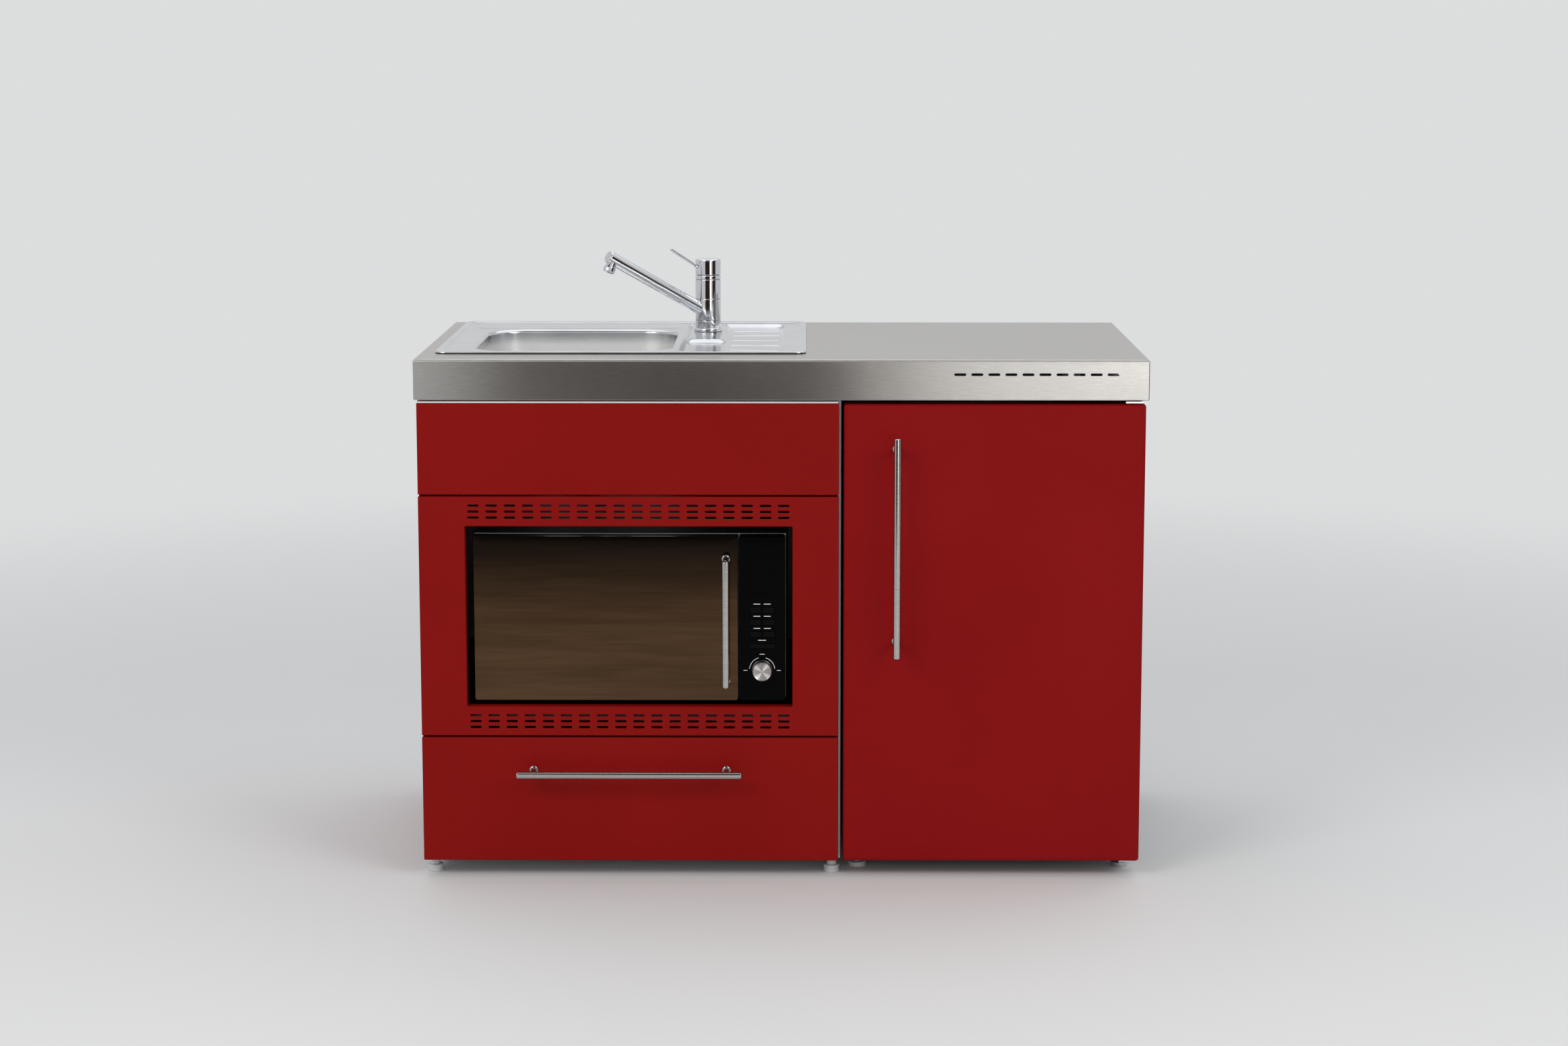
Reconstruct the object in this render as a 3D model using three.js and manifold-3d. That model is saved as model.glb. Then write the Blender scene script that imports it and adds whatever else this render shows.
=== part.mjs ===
// A kitchenette unit: a stainless worktop with a laid-on sink and a mixer tap, over a steel cabinet
// with a microwave oven and a drawer, and over an undercounter fridge.
//
// Lengths are millimetres and z is up. The origin is on the floor under the middle of the unit, and the
// front faces -y. Inside the unit, x runs from the worktop's left end, y from its front edge to the wall
// and z from the floor.

import * as THREE from 'three';
import { mergeVertices } from 'three/addons/utils/BufferGeometryUtils.js';
import Module from 'manifold-3d';

const wasm = await Module();
wasm.setup();

// ---------------------------------------------------------------- driving dimensions

const clearance = 0.3; // between pieces that are screwed, welded or laid together
const cabinetSheet = 1.5;

const worktop = { width: 1200, depth: 600, height: 870, sheet: 1.5, apron: 67, lip: 10, edgeRadius: 4 };
const airSlots = { count: 10, length: 19.6, height: 4.3, pitch: 27.7, endMargin: 49.4, below: 24.5 };
const bearer = { width: 40, sideInset: 60, frontInset: 120, backInset: 40 };

const cabinet = {
  overhang: 4, // worktop beyond the side panels
  sideThickness: 6.5,
  ribWidth: 24,
  backInset: 10,
  footHeight: 28.4,
  floorHeight: 20,
  railDepth: 30,
  railBelowApron: 26,
};
const front = { setback: 4, thickness: 18, edgeRadius: 2, gap: 3, reveal: 5.6, rightShow: 3.6 };
const foot = {
  radius: 13, height: 12, neckRadius: 8, stemRadius: 4, stemReach: 14, sideInset: 14, depthInset: 41,
};
const serviceOpening = { width: 240, height: 110, below: 150, corner: 12 };

const runner = { thickness: 13.3, height: 45, length: 500, sheet: 1.5, play: 0.5, lift: 62 };
const drawer = { frontHeight: 210.1, boxHeight: 140, boxDepth: runner.length, boxLift: 30, lipWidth: 5 };

const surround = { height: 401.5, openingWidth: 538.4, openingHeight: 302.5, corner: 1.5 };
const surroundSlots = { columns: 18, rows: 3, length: 19, height: 4, pitchAcross: 30, pitchUp: 10 };

const handle = {
  barRadius: 6, postRadius: 4.5, footRadius: 7, footHeight: 3, postSpacing: 320, reach: 38, endRound: 1,
};
const drawerHandle = { length: 371, height: 155.5 };
const fridgeHandle = { length: 365, fromEdge: 86.8, height: 562.7 };

const sink = {
  x: 25, y: 78, width: 616, depth: 500, cornerRadius: 18,
  rimHeight: 4, rimWidth: 14, rimRound: 2, deckStep: 2,
};
const sinkSheet = 1.6;
const cutoutInset = 9;
const bowl = {
  x: 60, y: 30, width: 330, length: 337, depth: 150, cornerRadius: 65, edgeRoll: 6, floorRadius: 36, draft: 4,
};
const drainer = { x: 403, y: 24, width: 175, length: 443, drop: 6, cornerRadius: 20 };
const groove = { count: 5, pitch: 81, radius: 4, depth: 2.5, fan: 0.92, startMargin: 87, endMargin: 10 };
const ledge = { x: 24, y: 384, width: 375, length: 98, height: 1, corner: 26 };
const waste = { radius: 40, wall: 2.5, depth: 50, flangeRadius: 56, nutRadius: 50, nutHeight: 10 };
const trap = {
  radius: 18, bore: 15, reach: 223, legGap: 60, drop: 84, outletRise: 52, elbow: 36, wallGap: 4,
};
const strainer = {
  wall: 1.2, depth: 34, footRound: 4, lipWidth: 4, stemRadius: 3, stemTaper: 3,
  knobRadius: 8, knobHeight: 12, knobRound: 2, knobEdge: 3, slots: 9, slotWidth: 4,
  slotFrom: 0.35, slotTo: 0.78, // of the basket's radius
};

const tap = {
  x: 443, y: 348, // from the sink's front left corner
  azimuth: 214.9, // of the spout and the lever, from +x
  shankRadius: 16,
  shankLength: 40,
  nutRadius: 25,
  nutHeight: 10,
  flangeRadius: 25,
  flangeRound: 1,
  bodyRadius: 22.5,
  coreRadius: 16,
  platformHalfWidth: 30.5,
  platformFront: 212,
  platformCorner: 12,
};
// Heights above the worktop, from the bottom up.
const tapLevels = { flange: 8, base: 22, spout: 60, body: 94, ring: 101, capGap: 2, cap: 130 };
const spout = {
  radius: 11, rootHeight: 34, reach: 205, endHeight: 143, endRound: 2,
  aeratorRadius: 9.5, aeratorLength: 24, aeratorFromEnd: 3, aeratorWall: 2, aeratorRecess: 3,
  nutHeight: 8, nutProud: 1, nutLift: 1,
};
const spoutPlay = 0.4;
const capSeat = { height: 123, play: 0.6 }; // centre of the ball seat that the cap tilts on
const lever = { radius: 2.6, length: 69, rise: 31, rootHeight: 115, inset: 11, socket: 12, endRound: 1 };
const grubScrew = { radius: 1.8, below: 8, inset: 4, proud: 0.6 }; // under the lever, in the cap
const capRound = 2.5;

const microwave = {
  width: 515, height: 276, setback: 15, doorThickness: 27, panelWidth: 77, doorGap: 1.5,
  sealGap: 4, margin: 2, skin: 1.2, bodyDepth: 380, feet: 12, footRadius: 10, footInset: 28,
  faceCorner: 4, faceEdge: 0.8,
  belowMiddle: 6, // of its surround
};
const oven = { x: 27, z: 14, width: 380, height: 240, depth: 350 };
const casingSlots = { count: 6, x: 60, z: 190, width: 6, height: 55, pitch: 30 };
const doorGlass = 4;
const doorPivot = {
  room: 1.5,
  inset: 12, depth: 15, pinRadius: 2.5, play: 0.3, earWidth: 12, earHeight: 4, edgeRadius: 15.4,
};
const doorWindow = { side: 42, top: 36, corner: 12 };
const doorRecess = { side: 4, top: 6, depth: 8, corner: 8 }; // round the cavity's mouth
const ovenHandle = { length: 212, postSpacing: 206, fromDoorEdge: 19.5, belowMiddle: 2 };
const turntable = {
  radius: 157, thickness: 6, rim: 6, rimWidth: 10, rimTop: 3, hubRadius: 9, hubDepth: 12, bossRadius: 16,
  lift: 15,
};
const rollers = { ringRadius: 92, ringWidth: 8, ringHeight: 5, wheelRadius: 7, wheelWidth: 8, count: 3 };
const panel = { wall: 2.5, displayWidth: 45, displayHeight: 78, displayTop: 16, displayDepth: 0.6 };
const button = { width: 20, height: 10, spacing: 21.9, play: 0.3, proud: 0.8, flange: 0.7, thickness: 6 };
const buttonRows = [153, 132, 112]; // heights above the panel's lower edge
const startButton = { width: 45, height: 9, row: 92 };
const knob = { radius: 17, height: 17, row: 52, shaftRadius: 3, shaftLength: 14, play: 0.5, faceRadius: 15 };

const fridge = {
  width: 493, endGap: 4.3, sideGap: 4.3, topGap: 6.8, bodyDrop: 2.2, bodyDepth: 531, skin: 1.2,
  wall: 36, floorWall: 45, backWall: 50, cornerRadius: 5,
};
const fridgeDoor = { thickness: 42, sealGap: 8.3, skin: 1.2, flange: 14, edgeRadius: 5 };
const niche = { depth: 140, height: 162, insulation: 35 };
const liner = { sheet: 2, ribWidth: 8, ribHeight: 8, ribBackInset: 20 };
const doorLiner = {
  sheet: 2, inset: 10, dykeInset: 53, dykeThickness: 8, dykeDepth: 52, dykeBottom: 222, dykeTop: 56,
  dykeCorner: 12,
};
const gasket = { inset: 16, width: 14 };
const hinge = {
  pinRadius: 4, play: 0.5, pinInset: 16, pinDepth: 20, pinReach: 18, width: 34, thickness: 3, back: 40,
  frontReach: 11.5, rightTrim: 5,
};
const hingeBoss = 30;
const glassShelf = { thickness: 4, front: 84, trim: 10, play: 1 };
const shelfHeights = { lower: 208, upper: 472 }; // above the fridge body's underside
const crisper = {
  wall: 2, height: 146, front: 71, backPlay: 15, play: 3, draft: 2, corner: 14, lip: 8, lipHalf: 60,
};
const rack = {
  wall: 2, corner: 4, depth: 62, height: 70, backHeight: 30, play: 0.5, ledge: 6, lower: 234, upper: 500,
};
const dial = { radius: 18, thickness: 14, y: 200, z: 640, spindleRadius: 4, play: 0.4, grip: 5 };
const compressor = {
  radius: 62, height: 96, baseWidth: 180, baseDepth: 110, baseThickness: 3, pipeRadius: 4,
};
const fridgeFoot = { radius: 15, rearRadius: 12, height: 8, stemRadius: 5, sideInset: 25, depthInset: 26 };

// ---------------------------------------------------------------- places worked out from them

const cabinetLeft = cabinet.overhang;
const fridgeLeft = worktop.width - fridge.endGap - fridge.width;
const cabinetRight = fridgeLeft - fridge.sideGap;
const innerLeft = cabinetLeft + cabinet.sideThickness;
const innerRight = cabinetRight - cabinet.sideThickness;
const frontsRight = cabinetRight - front.rightShow;
const frontsWidth = frontsRight - cabinetLeft;
const bodyFront = front.setback + front.thickness + clearance;
const bodyBack = worktop.depth - cabinet.backInset;
const underTop = worktop.height - worktop.sheet;
const apronBottom = worktop.height - worktop.apron;
const frontsTop = apronBottom - front.reveal;
const surroundBottom = cabinet.footHeight + drawer.frontHeight + front.gap;
const surroundTop = surroundBottom + surround.height;
const ovenDoorBottom = (surroundBottom + surroundTop - microwave.height) / 2 - microwave.belowMiddle;
const ovenLeft = (cabinetLeft + frontsRight - microwave.width) / 2;
const ovenFace = front.setback + microwave.setback;
const shelfTop = ovenDoorBottom - microwave.margin - microwave.feet - clearance;

const deck = sink.rimHeight - sink.deckStep; // the sink's flat, above the worktop
const bowlFloor = deck - bowl.depth;
const bowlCentre = [bowl.x + bowl.width / 2, bowl.y + bowl.length / 2];
const drainerFloor = deck - drainer.drop;

const doorBack = fridgeDoor.thickness; // inside the fridge, y runs from the door's face
const fridgeFront = fridgeDoor.thickness + fridgeDoor.sealGap;
const fridgeDoorHeight = apronBottom - fridge.topGap - cabinet.footHeight;
const fridgeHeight = fridgeDoorHeight - fridge.bodyDrop;
const fridgeBack = fridgeFront + fridge.bodyDepth;
const nicheFront = fridgeBack - niche.depth;
const shelfBack = fridgeBack - fridge.backWall;
const hingeX = fridge.width - hinge.pinInset;
const stepFront = nicheFront - niche.insulation; // of the liner's step over the compressor
const crisperLength = stepFront - fridgeFront - crisper.front - crisper.backPlay;

// ---------------------------------------------------------------- solids

// A closed solid of a geometry, with its shared corners merged and its faces turned outwards.
function toSolid(geometry) {
  const bare = new THREE.BufferGeometry();
  bare.setAttribute('position', geometry.getAttribute('position').clone());
  bare.setIndex(geometry.getIndex());
  const merged = mergeVertices(bare, 1e-3);
  const corner = merged.getAttribute('position');
  const index = merged.getIndex().array;
  const triangles = [];
  let volume = 0;
  const [a, b, c] = [new THREE.Vector3(), new THREE.Vector3(), new THREE.Vector3()];
  for (let i = 0; i < index.length; i += 3) {
    const [p, q, r] = [index[i], index[i + 1], index[i + 2]];
    if (p === q || q === r || r === p) continue;
    triangles.push([p, q, r]);
    a.fromBufferAttribute(corner, p);
    b.fromBufferAttribute(corner, q);
    c.fromBufferAttribute(corner, r);
    volume += a.dot(b.cross(c));
  }
  const outward = volume > 0 ? triangles : triangles.map(([p, q, r]) => [p, r, q]);
  return new wasm.Manifold(new wasm.Mesh({
    numProp: 3,
    vertProperties: new Float32Array(corner.array),
    triVerts: new Uint32Array(outward.flat()),
  }));
}

function toGeometry(solid) {
  const mesh = solid.getMesh();
  const geometry = new THREE.BufferGeometry();
  geometry.setAttribute('position', new THREE.BufferAttribute(new Float32Array(mesh.vertProperties), 3));
  geometry.setIndex(new THREE.BufferAttribute(new Uint32Array(mesh.triVerts), 1));
  geometry.computeVertexNormals();
  return geometry;
}

const join = (...solids) => solids.flat().reduce((whole, solid) => whole.add(solid));
const cut = (solid, ...tools) => solid.subtract(join(...tools));

function block([x0, y0, z0], [x1, y1, z1]) {
  const geometry = new THREE.BoxGeometry(x1 - x0, y1 - y0, z1 - z0);
  return toSolid(geometry.translate((x0 + x1) / 2, (y0 + y1) / 2, (z0 + z1) / 2));
}

// A round bar, or a cone where radiusTo differs, between two points.
function rod(radius, from, to, sides = 16, radiusTo = radius) {
  const start = new THREE.Vector3(...from);
  const end = new THREE.Vector3(...to);
  const along = end.clone().sub(start);
  const geometry = new THREE.CylinderGeometry(radiusTo, radius, along.length(), sides);
  geometry.applyQuaternion(new THREE.Quaternion().setFromUnitVectors(
    new THREE.Vector3(0, 1, 0), along.clone().normalize()));
  const middle = start.add(end).multiplyScalar(0.5);
  return toSolid(geometry.translate(middle.x, middle.y, middle.z));
}

// A solid of revolution about an upright axis. The profile is a list of [radius, height].
function lathe(profile, sides = 24, [x, y, z] = [0, 0, 0]) {
  const points = profile.map(([radius, height]) => new THREE.Vector2(radius, height));
  return toSolid(new THREE.LatheGeometry(points, sides).rotateX(Math.PI / 2).translate(x, y, z));
}

const ringLathe = (profile, sides, centre) => lathe([...profile, profile[0]], sides, centre);

// Points on an arc, from one angle to another in degrees.
function arc(x, y, radius, from, to, steps) {
  return Array.from({ length: steps + 1 }, (_, i) => {
    const angle = THREE.MathUtils.degToRad(from + (to - from) * i / steps);
    return [x + radius * Math.cos(angle), y + radius * Math.sin(angle)];
  });
}

// The outline of a rectangle with round corners, counterclockwise.
function outline(x0, y0, x1, y1, radius = 0, steps = 4) {
  if (radius <= 0) return [[x0, y0], [x1, y0], [x1, y1], [x0, y1]];
  return [
    ...arc(x1 - radius, y0 + radius, radius, -90, 0, steps),
    ...arc(x1 - radius, y1 - radius, radius, 0, 90, steps),
    ...arc(x0 + radius, y1 - radius, radius, 90, 180, steps),
    ...arc(x0 + radius, y0 + radius, radius, 180, 270, steps),
  ];
}

// A slot with pointed ends that stand for its half rounds.
function slotOutline(x, y, length, height) {
  const straight = (length - height) / 2;
  return [
    [x - straight, y - height / 2], [x + straight, y - height / 2], [x + length / 2, y],
    [x + straight, y + height / 2], [x - straight, y + height / 2], [x - length / 2, y],
  ];
}

const circle = (x, y, radius, sides = 24) => arc(x, y, radius, 0, 360, sides).slice(0, -1);

// An outline with its holes, thickened from 0 along z.
function extrude(points, depth, holes = []) {
  const shape = new THREE.Shape(points.map(([x, y]) => new THREE.Vector2(x, y)));
  shape.holes = holes.map((hole) => new THREE.Path(hole.map(([x, y]) => new THREE.Vector2(x, y))));
  return new THREE.ExtrudeGeometry(shape, { depth, bevelEnabled: false, steps: 1 });
}

// An outline in x and y, thickened upwards from z0 to z1.
function plate(points, z0, z1, holes) {
  return toSolid(extrude(points, z1 - z0, holes).translate(0, 0, z0));
}

// An outline in x and z, thickened backwards from y0 to y1.
function wall(points, y0, y1, holes) {
  const turn = new THREE.Matrix4().makeBasis(
    new THREE.Vector3(1, 0, 0), new THREE.Vector3(0, 0, 1), new THREE.Vector3(0, 1, 0));
  return toSolid(extrude(points, y1 - y0, holes).applyMatrix4(turn).translate(0, y0, 0));
}

// An outline in y and z, thickened to the right from x0 to x1.
function profile(points, x0, x1, holes) {
  const turn = new THREE.Matrix4().makeBasis(
    new THREE.Vector3(0, 1, 0), new THREE.Vector3(0, 0, 1), new THREE.Vector3(1, 0, 0));
  return toSolid(extrude(points, x1 - x0, holes).applyMatrix4(turn).translate(x0, 0, 0));
}

// A solid through a stack of rings that hold the same number of points each.
function loft(rings) {
  const count = rings[0].length;
  const positions = rings.flat(2);
  const index = [];
  for (let ring = 0; ring + 1 < rings.length; ring++) {
    for (let i = 0; i < count; i++) {
      const next = (i + 1) % count;
      const low = ring * count;
      const high = low + count;
      index.push(low + i, low + next, high + next, low + i, high + next, high + i);
    }
  }
  const last = (rings.length - 1) * count;
  for (let i = 1; i + 1 < count; i++) {
    index.push(0, i + 1, i, last, last + i, last + i + 1);
  }
  const geometry = new THREE.BufferGeometry();
  geometry.setAttribute('position', new THREE.Float32BufferAttribute(positions, 3));
  geometry.setIndex(index);
  return toSolid(geometry);
}

// A round-cornered block whose outline shrinks by an inset at each level; at() puts a point in space.
function layered([x0, y0, x1, y1], radius, levels, at = (a, b, level) => [a, b, level], steps = 4) {
  return loft(levels.map(([inset, level]) => outline(
    x0 + inset, y0 + inset, x1 - inset, y1 - inset, Math.max(radius - inset, 0.5), steps,
  ).map(([a, b]) => at(a, b, level))));
}

const facingFront = (a, b, level) => [a, level, b];

// The levels of layered() for an edge that is rounded from level 0 on.
function roundedEdge(radius) {
  const middle = radius * (1 - Math.SQRT1_2);
  return [[radius, 0], [middle, middle], [0, radius]];
}

// A sheet folded backwards on its four edges, with a rounded front edge.
function foldedFront(x0, x1, z0, z1, depth, sheet, radius) {
  const corner = 2;
  const rounded = layered([x0, z0, x1, z1], corner, [...roundedEdge(radius), [0, depth]], facingFront, 2);
  const pocket = block([x0 + sheet, sheet, z0 + sheet], [x1 - sheet, depth + 1, z1 - sheet]);
  return cut(rounded, pocket);
}

// A smooth round tube through points.
function tube(points, radius, sides, steps) {
  const through = points.map((point) => new THREE.Vector3(...point));
  const path = new THREE.CatmullRomCurve3(through, false, 'centripetal');
  const section = new THREE.Shape(circle(0, 0, radius, sides).map(([x, y]) => new THREE.Vector2(x, y)));
  return toSolid(new THREE.ExtrudeGeometry(section, { steps, extrudePath: path }));
}

// A round bar on two posts. The bar lies along x, in front of a face at y = 0.
function barHandle(length, postSpacing) {
  const half = length / 2;
  const { barRadius, endRound, postRadius, footRadius, footHeight, reach } = handle;
  const bar = toSolid(new THREE.LatheGeometry([
    [0, -half], [barRadius - endRound, -half], [barRadius, endRound - half],
    [barRadius, half - endRound], [barRadius - endRound, half], [0, half],
  ].map(([radius, along]) => new THREE.Vector2(radius, along)), 14)
    .rotateZ(Math.PI / 2).translate(0, -reach, 0));
  const posts = [-1, 1].map((side) => {
    const x = side * postSpacing / 2;
    const flare = rod(footRadius, [x, -clearance, 0], [x, -footHeight, 0], 10, postRadius);
    return join(flare, rod(postRadius, [x, -footHeight / 2, 0], [x, -reach, 0], 10));
  });
  return join(bar, posts);
}

// ---------------------------------------------------------------- materials and scene

function finish(color, roughness, metalness) {
  return new THREE.MeshStandardMaterial({ color, roughness, metalness, flatShading: true });
}

const finishes = {
  stainless: finish(0xb9bdc1, 0.35, 0.9),
  chrome: finish(0xdfe3e8, 0.08, 1),
  brushedSteel: finish(0xc4c2bd, 0.3, 0.95),
  redPaint: finish(0x8c1512, 0.35, 0.1),
  greyPaint: finish(0xa9abae, 0.45, 0.1),
  zinc: finish(0x9aa0a5, 0.5, 0.8),
  blackPaint: finish(0x18181a, 0.4, 0.1),
  blackGloss: finish(0x0b0b0c, 0.12, 0.05),
  mirrorGlass: finish(0x2a211c, 0.04, 0.6),
  darkPaint: finish(0x3a3c3f, 0.45, 0.2),
  whitePlastic: finish(0xe9ebec, 0.45, 0),
  greyPlastic: finish(0xb5b7b9, 0.6, 0),
  clearPlastic: finish(0xd9e6ec, 0.15, 0),
  glass: finish(0xcfe3dd, 0.05, 0),
  rubber: finish(0x8f9296, 0.8, 0),
};

function place(group, name, solid, material, position = [0, 0, 0], rotation = [0, 0, 0]) {
  const mesh = new THREE.Mesh(toGeometry(solid), material);
  mesh.name = name;
  mesh.position.set(...position);
  mesh.rotation.set(...rotation);
  group.add(mesh);
}

const model = new THREE.Group();
const unit = new THREE.Group();
// The handles' bars stand in front of the worktop, so the unit's middle lies in front of the worktop's.
const handleFront = front.setback - handle.reach - handle.barRadius;
unit.position.set(-worktop.width / 2, -(worktop.depth + handleFront) / 2, 0);
model.add(unit);

function groupAt(x, y, z, parent = unit) {
  const group = new THREE.Group();
  group.position.set(x, y, z);
  parent.add(group);
  return group;
}

const sinkGroup = groupAt(sink.x, sink.y, worktop.height);
const tapGroup = groupAt(tap.x, tap.y, 0, sinkGroup);
tapGroup.rotation.z = THREE.MathUtils.degToRad(tap.azimuth);
const drawerGroup = groupAt(0, front.setback, cabinet.footHeight);
const ovenGroup = groupAt(ovenLeft, ovenFace, ovenDoorBottom);
const fridgeGroup = groupAt(fridgeLeft, front.setback, cabinet.footHeight);

// ---------------------------------------------------------------- worktop

// One folded sheet: a top, an apron all round with air slots over the fridge, and a lip under the front.
// Two bearers under it stand on the fridge.
function makeWorktop() {
  const { width, depth, height, sheet, apron, lip, edgeRadius } = worktop;
  const section = (inset, radius, bottom) => [
    [inset, bottom], [depth - inset, bottom],
    ...arc(depth - inset - radius, height - inset - radius, radius, 0, 90, 4),
    ...arc(inset + radius, height - inset - radius, radius, 90, 180, 4),
  ];
  const shell = cut(
    profile(section(0, edgeRadius, apronBottom), 0, width),
    profile(section(sheet, edgeRadius - sheet, apronBottom + sheet), sheet, width - sheet),
    block([sheet, lip, apronBottom - 1], [width - sheet, depth - sheet, apronBottom + 2 * sheet]),
  );
  const slotZ = height - airSlots.below;
  const slots = Array.from({ length: airSlots.count }, (_, i) => {
    const x = width - airSlots.endMargin - airSlots.length / 2 - i * airSlots.pitch;
    return wall(slotOutline(x, slotZ, airSlots.length, airSlots.height), -1, sheet + 1);
  });
  const bearerFoot = cabinet.footHeight + fridgeHeight + clearance;
  const bearers = [
    fridgeLeft + bearer.sideInset,
    fridgeLeft + fridge.width - bearer.sideInset - bearer.width,
  ].map((x) => cut(
    block(
      [x, bearer.frontInset, bearerFoot],
      [x + bearer.width, depth - bearer.backInset, height - sheet / 2]),
    block(
      [x + sheet, bearer.frontInset - 1, bearerFoot + sheet],
      [x + bearer.width - sheet, depth - bearer.backInset + 1, underTop]),
  ));
  const cutout = plate(outline(
    sink.x + cutoutInset, sink.y + cutoutInset,
    sink.x + sink.width - cutoutInset, sink.y + sink.depth - cutoutInset,
    sink.cornerRadius - cutoutInset / 2), underTop - 1, height + 1);
  return cut(join(shell, bearers), cutout, slots);
}

place(unit, 'worktop', makeWorktop(), finishes.stainless);

// ---------------------------------------------------------------- sink

// The rings of the bowl. The underside follows the inside at the sheet's thickness.
function bowlLevels(skin) {
  const { edgeRoll, floorRadius, draft } = bowl;
  const roll = edgeRoll - skin;
  const fillet = floorRadius + skin;
  return [
    ...arc(-edgeRoll, deck - edgeRoll, roll, 90, 0, 3),
    ...arc(draft - skin + fillet, bowlFloor - skin + fillet, fillet, 180, 270, 4),
  ];
}

function bowlSolid(skin, levels) {
  const { x, y, width, length, cornerRadius } = bowl;
  return layered([x, y, x + width, y + length], cornerRadius, levels);
}

function grooveRods(radius) {
  const axis = drainerFloor + groove.radius - groove.depth;
  const middle = drainer.y + drainer.length / 2;
  return Array.from({ length: groove.count }, (_, i) => {
    const offset = (i - (groove.count - 1) / 2) * groove.pitch;
    return rod(radius,
      [drainer.x + groove.startMargin, middle + offset * groove.fan, axis],
      [drainer.x + drainer.width - groove.endMargin, middle + offset, axis], 8);
  });
}

// The pressed sink: a rolled rim, a bowl, a raised ledge behind it, and a sunken drainer with fanned
// grooves that runs round the platform of the tap.
function makeSink() {
  const { width, depth, rimHeight, rimWidth, rimRound, cornerRadius } = sink;
  const rim = layered([0, 0, width, depth], cornerRadius, [
    [0, clearance], ...roundedEdge(rimRound).reverse().map(([inset, below]) => [inset, rimHeight - below]),
  ]);
  const flat = plate(
    outline(rimWidth, rimWidth, width - rimWidth, depth - rimWidth, cornerRadius / 2), deck, rimHeight + 1);
  const { x, y, width: across, length, cornerRadius: corner } = drainer;
  const trayUnder = plate(
    outline(x - sinkSheet, y - sinkSheet, x + across + sinkSheet, y + length + sinkSheet, corner + sinkSheet),
    drainerFloor - sinkSheet, deck);
  const platform = plate(
    outline(
      tap.x - tap.platformHalfWidth, tap.platformFront,
      tap.x + tap.platformHalfWidth, y + length + corner, tap.platformCorner),
    drainerFloor - 1, deck + 1);
  const underPlatform = plate(
    outline(
      tap.x - tap.platformHalfWidth + sinkSheet, tap.platformFront + sinkSheet,
      tap.x + tap.platformHalfWidth - sinkSheet, y + length, tap.platformCorner - sinkSheet),
    drainerFloor - sinkSheet - 1, deck - sinkSheet);
  const trayRoom = plate(outline(x, y, x + across, y + length, corner), drainerFloor, rimHeight + 1);
  const tray = cut(trayRoom, platform);
  const ledgeRight = ledge.x + ledge.width;
  const ledgeBack = ledge.y + ledge.length;
  const raisedLedge = plate([
    [ledge.x + ledge.corner, ledge.y], [ledgeRight, ledge.y], [ledgeRight, ledgeBack],
    [ledge.x, ledgeBack], [ledge.x, ledge.y + ledge.corner],
  ], deck - 1, deck + ledge.height);
  const body = join(
    cut(rim, flat), raisedLedge, trayUnder, grooveRods(groove.radius + sinkSheet),
    bowlSolid(sinkSheet, bowlLevels(sinkSheet)));
  const topLevel = rimHeight + 1;
  const bowlSpace = bowlSolid(0, [[-bowl.edgeRoll, topLevel], ...bowlLevels(0)]);
  const [cx, cy] = bowlCentre;
  return cut(
    body, tray, underPlatform, bowlSpace, grooveRods(groove.radius),
    rod(waste.radius + 1, [cx, cy, bowlFloor - sinkSheet - 1], [cx, cy, bowlFloor + 1], 24),
    rod(tap.shankRadius + 1.5, [tap.x, tap.y, drainerFloor - 5], [tap.x, tap.y, topLevel], 24));
}

// The waste is a cup clamped through the bowl's floor, and a pipe that dips behind the oven and leaves
// through the cabinet's back.
function makeTrap() {
  const [cx, cy] = bowlCentre;
  const { radius, wall: thick, depth, flangeRadius, nutRadius, nutHeight } = waste;
  const under = -sinkSheet - clearance;
  const inner = radius - thick;
  const cup = ringLathe([
    [0, -depth], [radius, -depth], [radius, under - nutHeight], [nutRadius, under - nutHeight],
    [nutRadius, under], [radius, under], [radius, clearance], [flangeRadius, clearance],
    [flangeRadius, clearance + 1], [radius + 1, clearance + 2], [inner, clearance + 1],
    [inner, thick - depth], [0, thick - depth],
  ], 18, [cx, cy, 0]);
  const axis = -depth + trap.radius + 1;
  const start = cy + inner + 1;
  const leg = cy + trap.reach;
  const low = axis - trap.drop;
  const bend = trap.legGap / 2;
  const far = cx + trap.legGap;
  const out = low + trap.outletRise;
  const { elbow } = trap;
  const wallEnd = worktop.depth - sink.y - trap.wallGap;
  const path = [
    [cx, start, axis], [cx, leg - elbow, axis],
    [cx, leg - elbow * 0.22, axis - elbow * 0.22], [cx, leg, axis - elbow],
    [cx, leg, low + bend], [cx + bend * 0.3, leg, low + bend * 0.3], [cx + bend, leg, low],
    [far - bend * 0.3, leg, low + bend * 0.3], [far, leg, low + bend],
    [far, leg + elbow * 0.12, out - elbow / 3],
    [far, leg + elbow * 0.6, out], [far, wallEnd, out],
  ];
  const pipe = tube(path, trap.radius, 8, 24);
  const bores = [
    rod(trap.bore, [cx, cy + inner - 1, axis], [cx, leg - elbow * 1.4, axis], 8),
    rod(trap.bore, [far, leg + elbow * 1.1, out], [far, wallEnd + 1, out], 8),
  ];
  return cut(join(cup, pipe), bores);
}

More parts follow.
